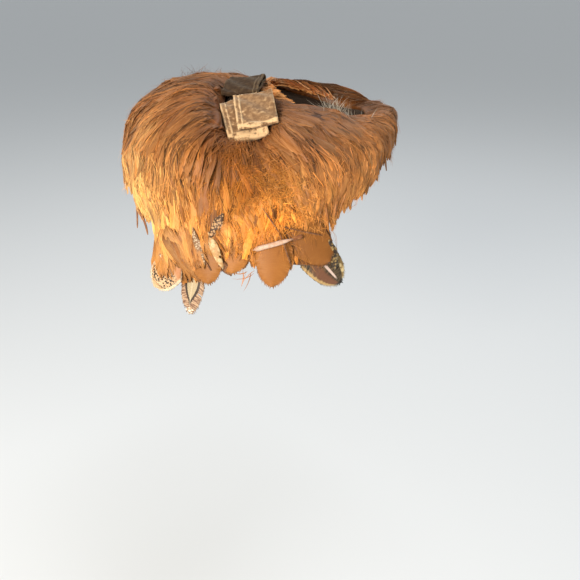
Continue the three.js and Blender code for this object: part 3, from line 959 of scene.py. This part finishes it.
coat_of(HACKLES, "back_hackles", 1900, [0], [0, 2, 3], (30, 50), (3.6, 6.6), 11)
coat_of(HACKLES, "front_hackles", 1800, [1], [1, 2, 3], (24, 42), (3.6, 6.4), 12)
for word, number in SIDES:
    coat_of(HACKLES, "panel_hackles_" + word, 800, [number], [number], (18, 34), (3.6, 6.0), 11 + number,
            off_flat_ones)
coat_of(HACKLES, "crown_hackles", 620, [0, 1], ALL_NODES, (14, 26), (2.6, 4.4), 20, near_bow)
for word, number in SIDES:
    coat_of(HACKLES, "under_hackles_" + word, 320, [number], [number], (14, 26), (3.2, 5.4), 16 + number,
            behind_flat_feathers, OVER_THE_EDGE, cut=0.2, ground=under_soft)

# %% [markdown]
# Low on the panels the feathers are broader and smoother than the hackles above them: coverts, with
# a round end. They are laid the same way, from a wider leaf. A last tuft of hackles hangs over the
# root of the spotted feather.

# %% Coverts of the panels
def low_on_panel(directions):
    return off_flat_ones(directions) & (azimuth_depth(directions)[1] > 40)


def over_spotted_feather(directions):
    azimuth, depth = azimuth_depth(directions)
    return (azimuth < -113) & (azimuth > -127) & (depth > 55) & (depth < 67)


for word, number in SIDES:
    coat_of(COVERTS, "panel_coverts_" + word, 60, [number], [number], (20, 30), (6, 9), 13 + number,
            low_on_panel)
coat_of(HACKLES, "rear_cover", 170, [2], [2], (13, 22), (2.2, 3.8), 17, over_spotted_feather,
        OVER_THE_EDGE, base_mm=(0.6, 1.4), cut=0.3)

# %% [markdown]
# Single barbs and fine hairs catch the light between the hackles and soften the outline. They are
# the same kind of leaf, one face wide, laid by the same walk: most of them close to the coat, some
# dark ones that paint shadow in the gaps, some bright ones that paint highlights, and a thin fuzz
# that stands off it.

# %% Fine hairs over the coat
def hair_set(roots, chance, length_mm, width_mm, lean, lift_mm, level):
    count = len(roots)
    ruffle = ruffled(roots)
    return dict(
        roots=roots,
        lengths=chance.uniform(*length_mm, count) * MM * (1 - 0.4 * ruffle),
        widths=chance.uniform(*width_mm, count) * MM,
        lean=chance.normal(0, 1, count) * (lean + 0.6 * ruffle),
        curl=chance.normal(0, 1, count) * (0.35 + ruffle),
        base=chance.uniform(-0.0002, 0.0007, count),
        lift=chance.uniform(*lift_mm, count) * MM,
        stray=chance.normal(0, 3.5, count),
        roll=chance.normal(0, 0.4, count),
        tint=dye_and_painted_light(roots, tint_colours(count, chance, 0.13, level)),
    )


def over_flat_feathers(directions):
    azimuth, depth = azimuth_depth(directions)
    return (np.abs(azimuth) > 68) & (np.abs(azimuth) < 113) & (depth > 44)


def hairs(name, count, owners, length_mm, width_mm, lean, lift_mm, level, seed, zone=None, stray=0.0):
    chance = np.random.default_rng(seed)
    roots = scatter_roots(count, owners, chance, zone)
    feathers = hair_set(roots, chance, length_mm, width_mm, lean, lift_mm, level)
    feathers["stray"] += stray
    piece = lay(name, HAIRS, feathers, ALL_NODES, 0.5)
    piece.data.materials.append(HACKLE)


# Name, count and nodes, lengths and widths, lean, lift, brightness and seed
hairs("back_hairs", 5200, [0], (22, 46), (0.18, 0.42), 0.10, (0.0, 0.8), 1.1, 21)
hairs("front_hairs", 4800, [1], (18, 40), (0.18, 0.42), 0.10, (0.0, 0.8), 1.1, 22)
hairs("panel_hairs", 2600, [2, 3], (12, 28), (0.18, 0.40), 0.15, (0.0, 0.8), 1.1, 23, off_flat_ones)
# the dark shadow hairs are painted shadow in the gaps, the bright hairs below them painted highlights
hairs("shadow_hairs", 2200, ALL_NODES, (20, 44), (0.30, 0.80), 0.12, (0.0, 0.5), 0.34, 24, off_flat_ones)
hairs("bright_hairs", 1700, ALL_NODES, (20, 44), (0.30, 1.10), 0.12, (0.0, 0.5), 1.5, 28, off_flat_ones)
hairs("veil", 520, [2, 3], (10, 22), (0.14, 0.30), 0.18, (0.0, 0.3), 1.0, 29, over_flat_feathers,
      OVER_THE_EDGE)
hairs("crown_hairs", 900, [0, 1], (8, 20), (0.16, 0.36), 0.3, (0.0, 0.8), 0.95, 30, near_bow)
hairs("fluff", 1500, [2], (5, 12), (0.16, 0.34), 0.6, (0.3, 1.4), 1.15, 25, fluffy)
hairs("frizz", 1500, [0, 1, 2], (5, 11), (0.22, 0.48), 0.5, (0.3, 2.2), 1.10, 27, ruffled)
hairs("fuzz", 1800, ALL_NODES, (8, 16), (0.12, 0.22), 0.5, (1.5, 3.4), 1.25, 26)

# %% [markdown]
# The edge feathers are body feathers: broad, smooth and round at the tip, with barbs that part here
# and there. Each is one fine leaf bent along the same line over the head as its solid in the frame,
# and it replaces that solid. A sheet alone would have no thickness, so a Solidify modifier gives it
# one. Their places are degrees round the head and millimetres below the crown.

# %% Lines for single feathers
def walk_on(root, way, length, curl=0.0):
    """Places over the head, straight on from a root or slowly turning."""
    places = [root]
    point = head_point(root, 0.0)
    for _ in range(STEPS - 1):
        point = point + way * length / (STEPS - 1)
        here = head_direction(point)
        normal = head_normal(here)
        way = unit(way - normal * (way @ normal))
        way = way * math.cos(curl / STEPS) + np.cross(normal, way) * math.sin(curl / STEPS)
        point = head_point(here, 0.0)
        places.append(here)
    return np.array(places)


def heading_way(azimuth, depth, heading, hand):
    """The direction over the head at a heading, in degrees from straight down towards the front."""
    here = head_point(direction_at(azimuth, depth), 0.0)
    down = unit(head_point(direction_at(azimuth, depth + 1), 0.0) - here)
    front = unit(np.cross(head_normal(direction_at(azimuth, depth)), down)) * -hand
    return down * math.cos(math.radians(heading)) + front * math.sin(math.radians(heading))


VANE_THICKNESS = 0.00035


def thicken(piece, name, thickness, offset):
    solid = piece.modifiers.new(name, "SOLIDIFY")
    solid.thickness = thickness
    solid.offset = offset


def single_feather(name, pattern, places, heights, width, length, material, tint=(1, 1, 1)):
    line = head_point(places, heights)[None]
    own = len(name) * 0.13 % 1
    chosen = dict(lengths=np.array([length]), widths=np.array([width]),
                  tint=np.array([[*tint, own]]), roll=np.zeros(1))
    piece = bend(name, [pattern], line, head_normal(places)[None], chosen)
    piece.data.materials.append(material)
    thicken(piece, "vane_thickness", VANE_THICKNESS, -1)
    return piece


# %% [markdown]
# Four flat feathers overlap along each side like tiles. Their roots are tucked under the hackles, and
# each has a depth of dye of its own.

# %% Flat feathers along the lower edge
BROAD = leaf("broad_vane", 60, 6, 4.5, 71, teeth=0.006, crown=0.05, sweep_in=0.16)
FLAT_FEATHERS = [
    dict(number=1, azimuth=111, depth=52.1, heading=12, length=28, width=17, height=10.15, shade=0.52),
    dict(number=2, azimuth=103, depth=49.0, heading=8, length=26, width=19, height=8.55, shade=0.62),
    dict(number=3, azimuth=88, depth=49.8, heading=-5, length=30, width=17, height=10.15, shade=0.60),
    dict(number=4, azimuth=88, depth=47.4, heading=46, length=32, width=19, height=8.55, shade=0.44),
]
ROOT_TUCK = np.linspace(1, 0, STEPS) ** 2 * 0.0030


def lay_edge_feather(name, row, hand, pattern, material, tint=(1, 1, 1)):
    azimuth = hand * row["azimuth"]
    way = heading_way(azimuth, row["depth"], row["heading"], hand)
    places = walk_on(direction_at(azimuth, row["depth"]), way, row["length"] * MM)
    heights = row["height"] * MM - ROOT_TUCK
    width, length = row["width"] * MM, row["length"] * MM
    return single_feather(name, pattern, places, heights, width, length, material, tint)


for row in FLAT_FEATHERS:
    for word, hand in (("right", -1), ("left", 1)):
        number, shade = row["number"], row["shade"]
        side_name = "%d_%s" % (number, word)
        tint = (shade, shade * 0.97, shade * 0.65)
        piece = lay_edge_feather("flat_vane_" + side_name, row, hand, BROAD, VANE, tint)
        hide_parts("flat_feather_" + side_name)

# %% [markdown]
# Three natural pheasant feathers show at the panel's corners. Their markings are painted by the
# feather's own UV map: how far along the shaft and how far out to the side. Specks are small
# Voronoi cells, a stripe is a lens shape made from the two distances, and barb streaks break up
# every edge as real barbs do.

# %% Pheasant feather materials
def spotted_material():
    material, tree, shader = start_material("spotted_vane", 0.5, 0.2, (1.0, 0.9, 0.75))
    marks, tint = place_streaks(tree, 55, 0.0)
    along = shaken(tree, marks["Along"], marks["Streak"], 0.12)
    barbs = ramp(tree, marks["Streak"], 0.35, 0.65)
    body = mix_colour(tree, barbs, (0.46, 0.26, 0.11), (0.66, 0.46, 0.26))
    body = mix_colour(tree, ramp(tree, along, 0.30, 0.55), (0.44, 0.18, 0.065), body)
    band = both(tree, ramp(tree, along, 0.35, 0.5), invert(tree, ramp(tree, along, 0.80, 0.9)))
    spots = both(tree, band, specks(tree, 0.95, 0.42, 0.54))
    body = mix_colour(tree, spots, body, (0.030, 0.020, 0.014))
    rim = ramp(tree, marks["Side"], 0.80, 0.92)
    body = mix_colour(tree, both(tree, rim, 0.7), body, (0.78, 0.62, 0.42))
    finish_feather(tree, shader, body, tint, marks["Streak"], 0.35)
    return material


def striped_material():
    material, tree, shader = start_material("striped_vane", 0.5, 0.2, (1.0, 0.9, 0.75))
    marks, tint = place_streaks(tree, 60, 0.0)
    along = shaken(tree, marks["Along"], marks["Streak"], 0.06)
    off = math_node(tree, "DIVIDE", math_node(tree, "SUBTRACT", along, 0.40), 0.37)
    side = math_node(tree, "DIVIDE", marks["Side"], 0.50)
    lens = math_node(tree, "ADD", side, both(tree, off, off))
    barbs = ramp(tree, marks["Streak"], 0.38, 0.62)
    outer = mix_colour(tree, barbs, (0.17, 0.080, 0.045), (0.52, 0.34, 0.20))
    body = mix_colour(tree, ramp(tree, lens, 1.25, 1.45), (0.045, 0.026, 0.016), outer)
    body = mix_colour(tree, ramp(tree, lens, 0.90, 0.98), (0.42, 0.32, 0.18), body)
    shaft = invert(tree, ramp(tree, marks["Side"], 0.03, 0.08))
    body = mix_colour(tree, both(tree, shaft, 0.5), body, (0.58, 0.47, 0.31))
    tip = both(tree, ramp(tree, along, 0.84, 0.9), specks(tree, 1.4, 0.35, 0.5))
    body = mix_colour(tree, tip, body, (0.80, 0.70, 0.54))
    finish_feather(tree, shader, body, tint, marks["Streak"], 0.35)
    return material


def dark_material():
    material, tree, shader = start_material("dark_vane", 0.45, 0.2, (0.9, 0.85, 0.7))
    marks, tint = place_streaks(tree, 60, 0.0)
    across = shaken(tree, vane_place(tree)[0], marks["Streak"], 0.10)
    along = shaken(tree, marks["Along"], marks["Streak"], 0.10)
    barbs = ramp(tree, marks["Streak"], 0.40, 0.66)
    body = mix_colour(tree, barbs, (0.030, 0.022, 0.012), (0.14, 0.095, 0.050))
    rust = both(tree, ramp(tree, marks["Patch"], 0.46, 0.60), ramp(tree, across, 0.55, 0.70))
    body = mix_colour(tree, rust, body, (0.15, 0.062, 0.030))
    gold = mix_colour(tree, specks(tree, 2.0, 0.40, 0.55), (0.30, 0.19, 0.070), (0.66, 0.50, 0.24))
    edge = invert(tree, ramp(tree, across, 0.10, 0.17))
    body = mix_colour(tree, edge, body, gold)
    body = mix_colour(tree, ramp(tree, across, 0.90, 0.96), body, (0.42, 0.27, 0.11))
    middle = both(tree, ramp(tree, marks["Along"], 0.40, 0.5),
                  invert(tree, ramp(tree, marks["Along"], 0.84, 0.92)))
    shaft = both(tree, invert(tree, ramp(tree, marks["Side"], 0.05, 0.11)), middle)
    body = mix_colour(tree, shaft, body, (0.62, 0.46, 0.38))
    body = mix_colour(tree, ramp(tree, along, 0.93, 0.98), body, (0.020, 0.016, 0.012))
    finish_feather(tree, shader, body, tint, marks["Streak"], 0.35)
    return material


SPOTTED, STRIPED, DARK = spotted_material(), striped_material(), dark_material()
print("three pheasant materials made")

# %% [markdown]
# One pheasant feather lies at the panel's rear corner, one hangs below it and one lies at the front
# corner. All three are on the wearer's right.

# %% Pheasant feathers at the corners
POINTED = leaf("pointed_vane", 40, 6, 3.0, 72, teeth=0.03, crown=0.06, sweep_in=0.22, slits=2)
PHEASANT_FEATHERS = [
    dict(node="pheasant_rear", azimuth=117, depth=67.9, heading=-38, length=23, width=17, height=8.55,
         pattern=BROAD, material=SPOTTED, slot="spotted_feather"),
    dict(node="pheasant_hanging", azimuth=113.8, depth=68.7, heading=-6, length=30, width=12.5, height=3.25,
         pattern=POINTED, material=STRIPED, slot="striped_feather"),
    dict(node="pheasant_front", azimuth=82, depth=56.9, heading=40, length=32, width=18, height=3.25,
         pattern=BROAD, material=DARK, slot="dark_feather"),
]
for row in PHEASANT_FEATHERS:
    piece = lay_edge_feather(row["node"] + "_vane", row, -1, row["pattern"], row["material"])
    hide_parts(row["node"])

# %% [markdown]
# Small parts of other feathers show between the orange ones. From this far away each is one colour
# with small specks of another, so one function makes all their materials.

# %% Speckled materials
def two_tone(name, deep, pale, size_mm, low, high):
    """A vane of one colour with small specks of another."""
    material, tree, shader = start_material(name, 0.5, 0.2, (1.0, 0.9, 0.75))
    marks, tint = place_streaks(tree, 40, 0.0)
    body = mix_colour(tree, specks(tree, size_mm, low, high), deep, pale)
    barbs = ramp(tree, marks["Streak"], 0.3, 0.7)
    shade = mix_colour(tree, barbs, (0.75, 0.72, 0.70), (1, 1, 1))
    body = mix_colour(tree, 1.0, body, shade, "MULTIPLY")
    finish_feather(tree, shader, body, tint, marks["Streak"], 0.3)
    return material


NETTED = two_tone("netted_vane", (0.085, 0.042, 0.020), (0.56, 0.32, 0.14), 1.0, 0.36, 0.56)
SPECKLED = two_tone("speckled_vane", (0.24, 0.12, 0.05), (0.56, 0.42, 0.26), 0.9, 0.34, 0.56)
CREAM = two_tone("cream_vane", (0.52, 0.29, 0.11), (0.68, 0.48, 0.24), 2.2, 0.30, 0.7)
QUILL = two_tone("pale_quill", (0.58, 0.33, 0.20), (0.70, 0.47, 0.34), 2.4, 0.30, 0.8)
PALE = two_tone("pale_barb", (0.60, 0.48, 0.34), (0.80, 0.70, 0.54), 2.0, 0.40, 0.8)
GILDED = two_tone("gilded_vane", (0.045, 0.030, 0.018), (0.42, 0.27, 0.095), 1.5, 0.32, 0.58)
RUST = two_tone("rust_vane", (0.26, 0.090, 0.026), (0.40, 0.16, 0.05), 2.0, 0.35, 0.5)
BROWN = two_tone("brown_vane", (0.16, 0.065, 0.025), (0.26, 0.11, 0.04), 2.0, 0.35, 0.5)
print("eight speckled materials made")

# %% [markdown]
# Small things make a feather hat look made by hand: slivers of netted and speckled pheasant feather,
# a bare pale quill, thin dark lines of painted shadow where flat feathers overlap, and stray tips. Each
# runs from one place to another over the head, with a rise over the coat in millimetres, and all are
# listed in one table.

# %% Slivers, the quill and gaps
NARROW = leaf("narrow_vane", 14, 4, 3.0, 73, teeth=0.03, crown=0.08, sweep_in=0.06, slits=1)
STRIP = leaf("bare_strip", 10, 3, 40.0, 74, crown=0.20)
LINE = leaf("thin_line", 12, 1, 8.0, 75)


def surface(start):
    return head_point(direction_at(*start), 0.0)


def sliver(name, start, end, width, rise, shape, material):
    """A narrow feather over the coat from one azimuth and depth to another."""
    reach = surface(end) - surface(start)
    length = float(np.linalg.norm(reach))
    places = walk_on(direction_at(*start), unit(reach), length)
    heights = coat_height(places) + rise * MM
    single_feather(name, shape, places, heights, width * MM, length, material)


# Name, where it starts and ends, width and rise in millimetres, pattern and material
SLIVERS = [
    ("netted_sliver", (-104.4, 49.4), (-107.3, 59.2), 4.8, 2.0, NARROW, NETTED),
    ("speckled_sliver", (-113.8, 56.0), (-108.4, 70.5), 3.4, 1.4, NARROW, SPECKLED),
    ("cream_sliver", (-108.2, 57.0), (-103.2, 71.5), 4.2, 1.5, NARROW, CREAM),
    ("gilded_sliver", (-72.6, 60.0), (-70.4, 73.5), 4.8, 1.0, NARROW, GILDED),
    ("rust_sliver", (-104.6, 67.5), (-101.6, 75.5), 4.2, 0.7, NARROW, BROWN),
    ("quill", (-83.4, 58.8), (-94.9, 63.2), 2.2, 1.7, STRIP, QUILL),
    ("quill_end", (-84.0, 59.0), (-80.6, 57.9), 1.8, 1.6, STRIP, RUST),
    # the gap lines are thin dark sheets of painted shadow where flat feathers overlap
    ("gap_upper", (-92.4, 46.8), (-86.9, 57.2), 0.6, 2.4, LINE, BROWN),
    ("gap_lower", (-87.2, 56.5), (-83.9, 71.1), 0.7, 1.6, LINE, BROWN),
    ("gap_front", (-89.1, 53.1), (-80.0, 56.3), 0.6, 1.1, LINE, BROWN),
    ("gap_corner", (-81.0, 56.0), (-74.5, 58.2), 0.7, 1.1, LINE, BROWN),
    ("gap_rear", (-108.6, 68.4), (-105.1, 76.2), 0.7, 1.1, LINE, BROWN),
    ("tip_rear_1", (-146.5, 51.0), (-142.5, 63.5), 1.1, 0.5, LINE, RUST),
    ("tip_rear_2", (-141.0, 54.0), (-135.5, 64.5), 1.3, 0.5, LINE, RUST),
]
for row in SLIVERS:
    sliver(*row)

# %% [markdown]
# Loose barbs stand off the coat in a few places. Each tuft starts near one place and fans out round
# one heading, and its barbs are the same thin leaf as the hairs.

# %% Loose barbs
def stray_barbs(name, count, start, spread, way_degrees, fan, length_mm, curl, rise_mm, material, tint,
                seed, width_mm=0.23):
    """A tuft of loose barbs from about one place on the coat, fanned round one heading."""
    chance = np.random.default_rng(seed)
    lines, normals = [], []
    hand = math.copysign(1, start[0])
    for _ in range(count):
        azimuth = start[0] + chance.normal(0, spread)
        depth = start[1] + chance.normal(0, spread * 0.5)
        way = heading_way(azimuth, depth, way_degrees + chance.uniform(-fan, fan), hand)
        length = chance.uniform(*length_mm) * MM
        places = walk_on(direction_at(azimuth, depth), way, length, chance.normal(0, 1) * curl)
        rise = np.linspace(0, 1, STEPS) ** 1.5 * chance.uniform(0.4, 1.0) * rise_mm
        lines.append(head_point(places, coat_height(places) + rise * MM))
        normals.append(head_normal(places))
    chosen = dict(lengths=chance.uniform(*length_mm, count) * MM,
                  widths=chance.uniform(0.7, 1.3, count) * width_mm * MM,
                  tint=np.tile([*tint, 0.5], (count, 1)), roll=chance.normal(0, 0.5, count))
    piece = bend(name, HAIRS, np.array(lines), np.array(normals), chosen)
    piece.data.materials.append(material)


# Name, count, place and its spread, heading and its fan, lengths, curl, rise, material, tint and seed
stray_barbs("pale_barbs", 90, (-45, 14.0), 4.0, 190, 80, (7, 13), 0.5, 9.0, PALE, (0.85, 0.85, 0.85), 81)
stray_barbs("lower_wisps", 6, (-96.5, 73.0), 1.0, -25, 30, (8, 12), 2.4, 1.0, HACKLE, (1.0, 0.85, 0.5), 82,
            width_mm=0.6)
stray_barbs("crown_barbs", 40, (174, 9.0), 7.0, 190, 80, (5, 10), 0.4, 7.0, HACKLE, (0.4, 0.35, 0.3), 83)
stray_barbs("far_rim_barbs", 60, (54, 27.0), 10.0, 180, 80, (5, 10), 0.5, 3.0, HACKLE, (1.2, 1.2, 1.3), 84)

# %% [markdown]
# Inside the crown opening the coat turns over its edge: a fringe of short hackles runs along its rear
# and its left and down to the cap. Seen from above the opening is an oval, blunt at its ends.

# %% Fringe of the crown opening
OPENING_MIDDLE, OPENING_HALF = np.array([21.0, 0.0]), np.array([25.0, 30.0])
OPENING_BLUNTNESS = 0.72
FRINGE_END = 0.0042


def plan_directions(plan):
    """Directions for places seen from above, in millimetres."""
    flat = plan * MM / HALF[:2]
    level = np.sqrt(np.maximum(0, 1 - (flat**2).sum(-1, keepdims=True)))
    return np.concatenate([flat, level], -1)


def opening_fringe(count, seed):
    chance = np.random.default_rng(seed)
    turn = np.radians(chance.uniform(80, 230, count))
    ring = np.stack([np.cos(turn), np.sin(turn)], -1)
    edge = OPENING_MIDDLE + OPENING_HALF * np.sign(ring) * np.abs(ring) ** OPENING_BLUNTNESS
    inward = -ring
    forward = np.stack([np.abs(ring[:, 1]), -np.sign(ring[:, 1]) * ring[:, 0]], -1)
    way = unit(inward * chance.uniform(0.25, 0.6, (count, 1)) + forward)
    lengths = chance.uniform(9, 15, count)
    share = np.linspace(-0.35, 0.65, STEPS)
    plan = edge[:, None] + way[:, None] * lengths[:, None, None] * share[None, :, None]
    places = plan_directions(plan)
    starts = coat_height(places[:, :1]) - 0.0004
    heights = starts + (FRINGE_END - starts) * smooth_step(share, -0.1, 0.65)[None, :]
    heights = heights + chance.uniform(-0.0008, 0.0008, (count, 1))
    tint = tint_colours(count, chance, 0.08, 1.15)
    chosen = dict(lengths=lengths * MM, widths=chance.uniform(2.0, 3.6, count) * MM, tint=tint,
                  roll=chance.normal(0, 0.15, count))
    piece = bend("opening_fringe", HACKLES, head_point(places, heights), head_normal(places), chosen)
    piece.data.materials.append(HACKLE)


opening_fringe(260, 85)

# %% [markdown]
# The cap is stiffened millinery cloth, dark brown, seen inside the crown opening and from below.
# Its solid is already the right form, so a copy of it is merged, its sharp edges are rounded as a
# turned hem is, and a woven pattern is laid round the head on its own UV map.

# %% The cap cloth
THREAD_MM = 0.9
HEM_ROUNDING = 0.0004


def cloth_material():
    material, tree, shader = start_material("cap_cloth", 0.9, 0.08, (0.8, 0.6, 0.45), 0.1)
    around, down = vane_place(tree)
    warp = math_node(tree, "SINE", both(tree, around, 2 * math.pi / THREAD_MM))
    weft = math_node(tree, "SINE", both(tree, down, 2 * math.pi / THREAD_MM))
    weave = math_node(tree, "MULTIPLY_ADD", both(tree, warp, weft), 0.5, 0.5)
    wear = noise_node(tree, object_place(tree), 60.0, 3.0)
    body = mix_colour(tree, weave, (0.016, 0.010, 0.007), (0.052, 0.030, 0.018))
    worn = both(tree, ramp(tree, wear, 0.5, 0.75), 0.5)
    body = mix_colour(tree, worn, body, (0.08, 0.045, 0.024))
    put(tree, body, shader.inputs["Base Color"])
    add_bump(tree, shader, weave, 0.5, 0.0003)
    return material


def cap_piece():
    shape = bmesh.new()
    shape.from_mesh(nodes["cap"].data)
    bmesh.ops.remove_doubles(shape, verts=shape.verts, dist=1e-6)
    bmesh.ops.recalc_face_normals(shape, faces=shape.faces)
    sharp = [e for e in shape.edges if len(e.link_faces) == 2 and e.calc_face_angle(0) > math.radians(50)]
    bmesh.ops.bevel(shape, geom=sharp, offset=HEM_ROUNDING, segments=2, profile=0.5, affect="EDGES",
                    material=-1)
    points, faces = read_shape(shape)
    shape.free()
    direction = head_direction(points)
    azimuth, _ = azimuth_depth(direction)
    # the threads are laid out in millimetres round the head and down from the crown
    uvs = np.stack([np.radians(azimuth) * 75, np.arccos(np.clip(direction[:, 2], -1, 1)) * 90], -1)
    piece = build_mesh("cap_shell", points, faces, uvs, np.tile([1, 1, 1, 0.5], (len(points), 1)))
    piece.data.materials.append(cloth_material())
    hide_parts("cap")


cap_piece()

# %% [markdown]
# The bow is three loops of folded ribbon in crushed velvet. Each starts as a flat grid as long as
# the ribbon, is turned round the loop's outline and laid on the head, then closed where it is sewn
# and given a thickness. The pile is brown where it lies flat and gold where it is crushed; its cream
# flecks are painted glints, and the pale lines along its selvedges and the fold are painted
# highlights.

# %% The velvet
GLINT_LOW = 0.54
# the cream colour paints the glints and the highlight lines
VELVET_AND_HIGHLIGHT_COLOURS = ((0.19, 0.098, 0.042), (0.31, 0.175, 0.080), (0.66, 0.43, 0.22))


def velvet_material(name, shade, fold_reach):
    material, tree, shader = start_material(name, 0.75, 0.45 * shade, (1.0, 0.85, 0.65), 0.2)
    across, along = vane_place(tree)
    crush = noise_node(tree, object_place(tree), 520.0, 5.0)
    area = noise_node(tree, object_place(tree), 75.0, 2.0)
    # shade darkens every colour, as it does the sheen above: the far loop's velvet is a copy with painted
    # shade
    brown, gold, highlight_cream = [tuple(c * shade for c in colour) for colour in VELVET_AND_HIGHLIGHT_COLOURS]
    body = mix_colour(tree, ramp(tree, crush, 0.38, 0.62), brown, gold)
    # cream flecks on the crushed pile are painted glints
    fleck_glints = both(tree, ramp(tree, crush, GLINT_LOW, GLINT_LOW + 0.16), ramp(tree, area, 0.45, 0.65))
    body = mix_colour(tree, fleck_glints, body, highlight_cream)
    wander = math_node(tree, "MULTIPLY_ADD", crush, 0.03, -0.015)
    from_left = math_node(tree, "ADD", across, wander)
    from_right = invert(tree, from_left)
    # pale lines along the selvedges, beside the left one, along the right edge and at the fold are painted
    # highlights
    selvedge_highlight = invert(tree, ramp(tree, from_left, 0.030, 0.060))
    inset_highlight = invert(tree, ramp(tree, from_left, 0.140, 0.165))
    inset_highlight = both(tree, ramp(tree, from_left, 0.100, 0.120), inset_highlight)
    thin_highlight = both(tree, invert(tree, ramp(tree, from_right, 0.0, 0.035)), 0.6)
    from_fold = math_node(tree, "SUBTRACT", math_node(tree, "ADD", along, wander), 0.5)
    from_fold = math_node(tree, "ABSOLUTE", from_fold)
    fold = invert(tree, ramp(tree, from_fold, fold_reach, fold_reach + 0.012))
    lines = math_node(tree, "MAXIMUM", math_node(tree, "MAXIMUM", selvedge_highlight, inset_highlight), fold)
    lines = math_node(tree, "MAXIMUM", lines, thin_highlight)
    lines = both(tree, lines, ramp(tree, crush, 0.30, 0.50))
    body = mix_colour(tree, lines, body, highlight_cream)
    put(tree, body, shader.inputs["Base Color"])
    add_bump(tree, shader, math_node(tree, "ADD", crush, both(tree, lines, 0.8)), 0.7, 0.0005)
    return material


# %% [markdown]
# The lower loop is the widest and reaches furthest down the side, the upper one stands on it, and the
# far one is turned the other way; its shade is painted, by darkening its velvet and sheen to a fifth.

# %% The bow's loops
RIBBON_WIDTH = 0.019
RIBBON_THICKNESS = 0.0009
STEPS_AROUND, STEPS_ACROSS = 56, 14
LOOP_OUTLINE = np.array([
    (0.02, 0.0), (0.3, -0.03), (0.7, 0.02), (0.94, 0.12), (1.0, 0.5),
    (0.94, 0.92), (0.7, 1.0), (0.3, 0.8), (0.03, 0.6), (0.0, 0.3),
])
BOW_LOOPS = [
    dict(node="bow_loop_lower", x=-15, y=-26, rise=4.6, heading=7, tilt=0, length=25, puff=3.6,
         shade=1.0, fold=0.055),
    dict(node="bow_loop_upper", x=-8, y=-28, rise=9.0, heading=5, tilt=3, length=19, puff=1.7,
         shade=1.0, fold=0.020),
    # the far loop's shade of 0.20 darkens its velvet as painted shade
    dict(node="bow_loop_far", x=-15, y=-20, rise=4.6, heading=166, tilt=0, length=16, puff=2.6,
         shade=0.20, fold=0.010),
]


def outline_curve(steps):
    """The loop's outline as a smooth closed curve, from the sewn end round and back."""
    corners = len(LOOP_OUTLINE)
    places = []
    for step in range(steps + 1):
        at = step / steps * corners
        k, f = int(at) % corners, at - int(at)
        a, b, c, d = (LOOP_OUTLINE[(k + n) % corners] for n in (-1, 0, 1, 2))
        square, cube = 2 * a - 5 * b + 4 * c - d, 3 * b - a - 3 * c + d
        places.append(0.5 * (2 * b + (c - a) * f + square * f**2 + cube * f**3))
    places = np.array(places)
    run = np.concatenate([[0], np.cumsum(np.linalg.norm(np.diff(places, axis=0) * [1, 0.15], axis=1))])
    return places, run / run[-1]


def plan_direction(x, y):
    level = math.sqrt(1 - (x * MM / HALF[0]) ** 2 - (y * MM / HALF[1]) ** 2)
    return np.array([x * MM / HALF[0], y * MM / HALF[1], level])


def bow_loop(row, number):
    """One loop: a grid turned round the outline, whose sewn end rests at the row's place."""
    outline, run = outline_curve(STEPS_AROUND)
    shape = bmesh.new()
    across = shape.verts.layers.float.new("across")
    along = shape.verts.layers.float.new("along")
    bmesh.ops.create_grid(shape, x_segments=STEPS_ACROSS, y_segments=STEPS_AROUND, size=0.5)
    root = plan_direction(row["x"], row["y"])
    turn = math.radians(row["heading"])
    way = np.array([math.sin(turn), -math.cos(turn), 0.0])
    normal = head_normal(root)
    way = unit(way - normal * (way @ normal))
    for vert in shape.verts:
        step = int(round((vert.co.y + 0.5) * STEPS_AROUND))
        side = vert.co.x
        vert[across], vert[along] = side + 0.5, run[step]
        reach = outline[step, 0] * row["length"] * MM
        # crushed ribbon dips a little between its edges
        dip = 0.0004 * math.cos(side * 9 + step * 0.7 + number) + 0.0005 * (abs(side) > 0.42)
        slope = reach * math.tan(math.radians(row["tilt"]))
        height = (row["rise"] + outline[step, 1] * row["puff"]) * MM + slope + dip
        places = walk_on(root, way, reach)
        ahead = way
        if reach > 1e-6:
            ahead = unit(head_point(places[-1], 0.0) - head_point(places[-2], 0.0))
        sideways = unit(np.cross(head_normal(places[-1]), ahead))
        vert.co = Vector(head_point(places[-1], height) + sideways * side * RIBBON_WIDTH)
    bmesh.ops.triangulate(shape, faces=shape.faces)
    bmesh.ops.recalc_face_normals(shape, faces=shape.faces)
    points, faces = read_shape(shape)
    uvs = np.array([(v[across], v[along]) for v in shape.verts])
    shape.free()
    piece = build_mesh(row["node"].replace("bow_loop", "velvet_loop"), points, faces, uvs,
                       np.tile([1, 1, 1, 0.5], (len(points), 1)))
    piece.data.materials.append(velvet_material("velvet_%d" % number, row["shade"], row["fold"]))
    thicken(piece, "ribbon_thickness", RIBBON_THICKNESS, 0)
    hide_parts(row["node"])


for number, row in enumerate(BOW_LOOPS):
    bow_loop(row, number)
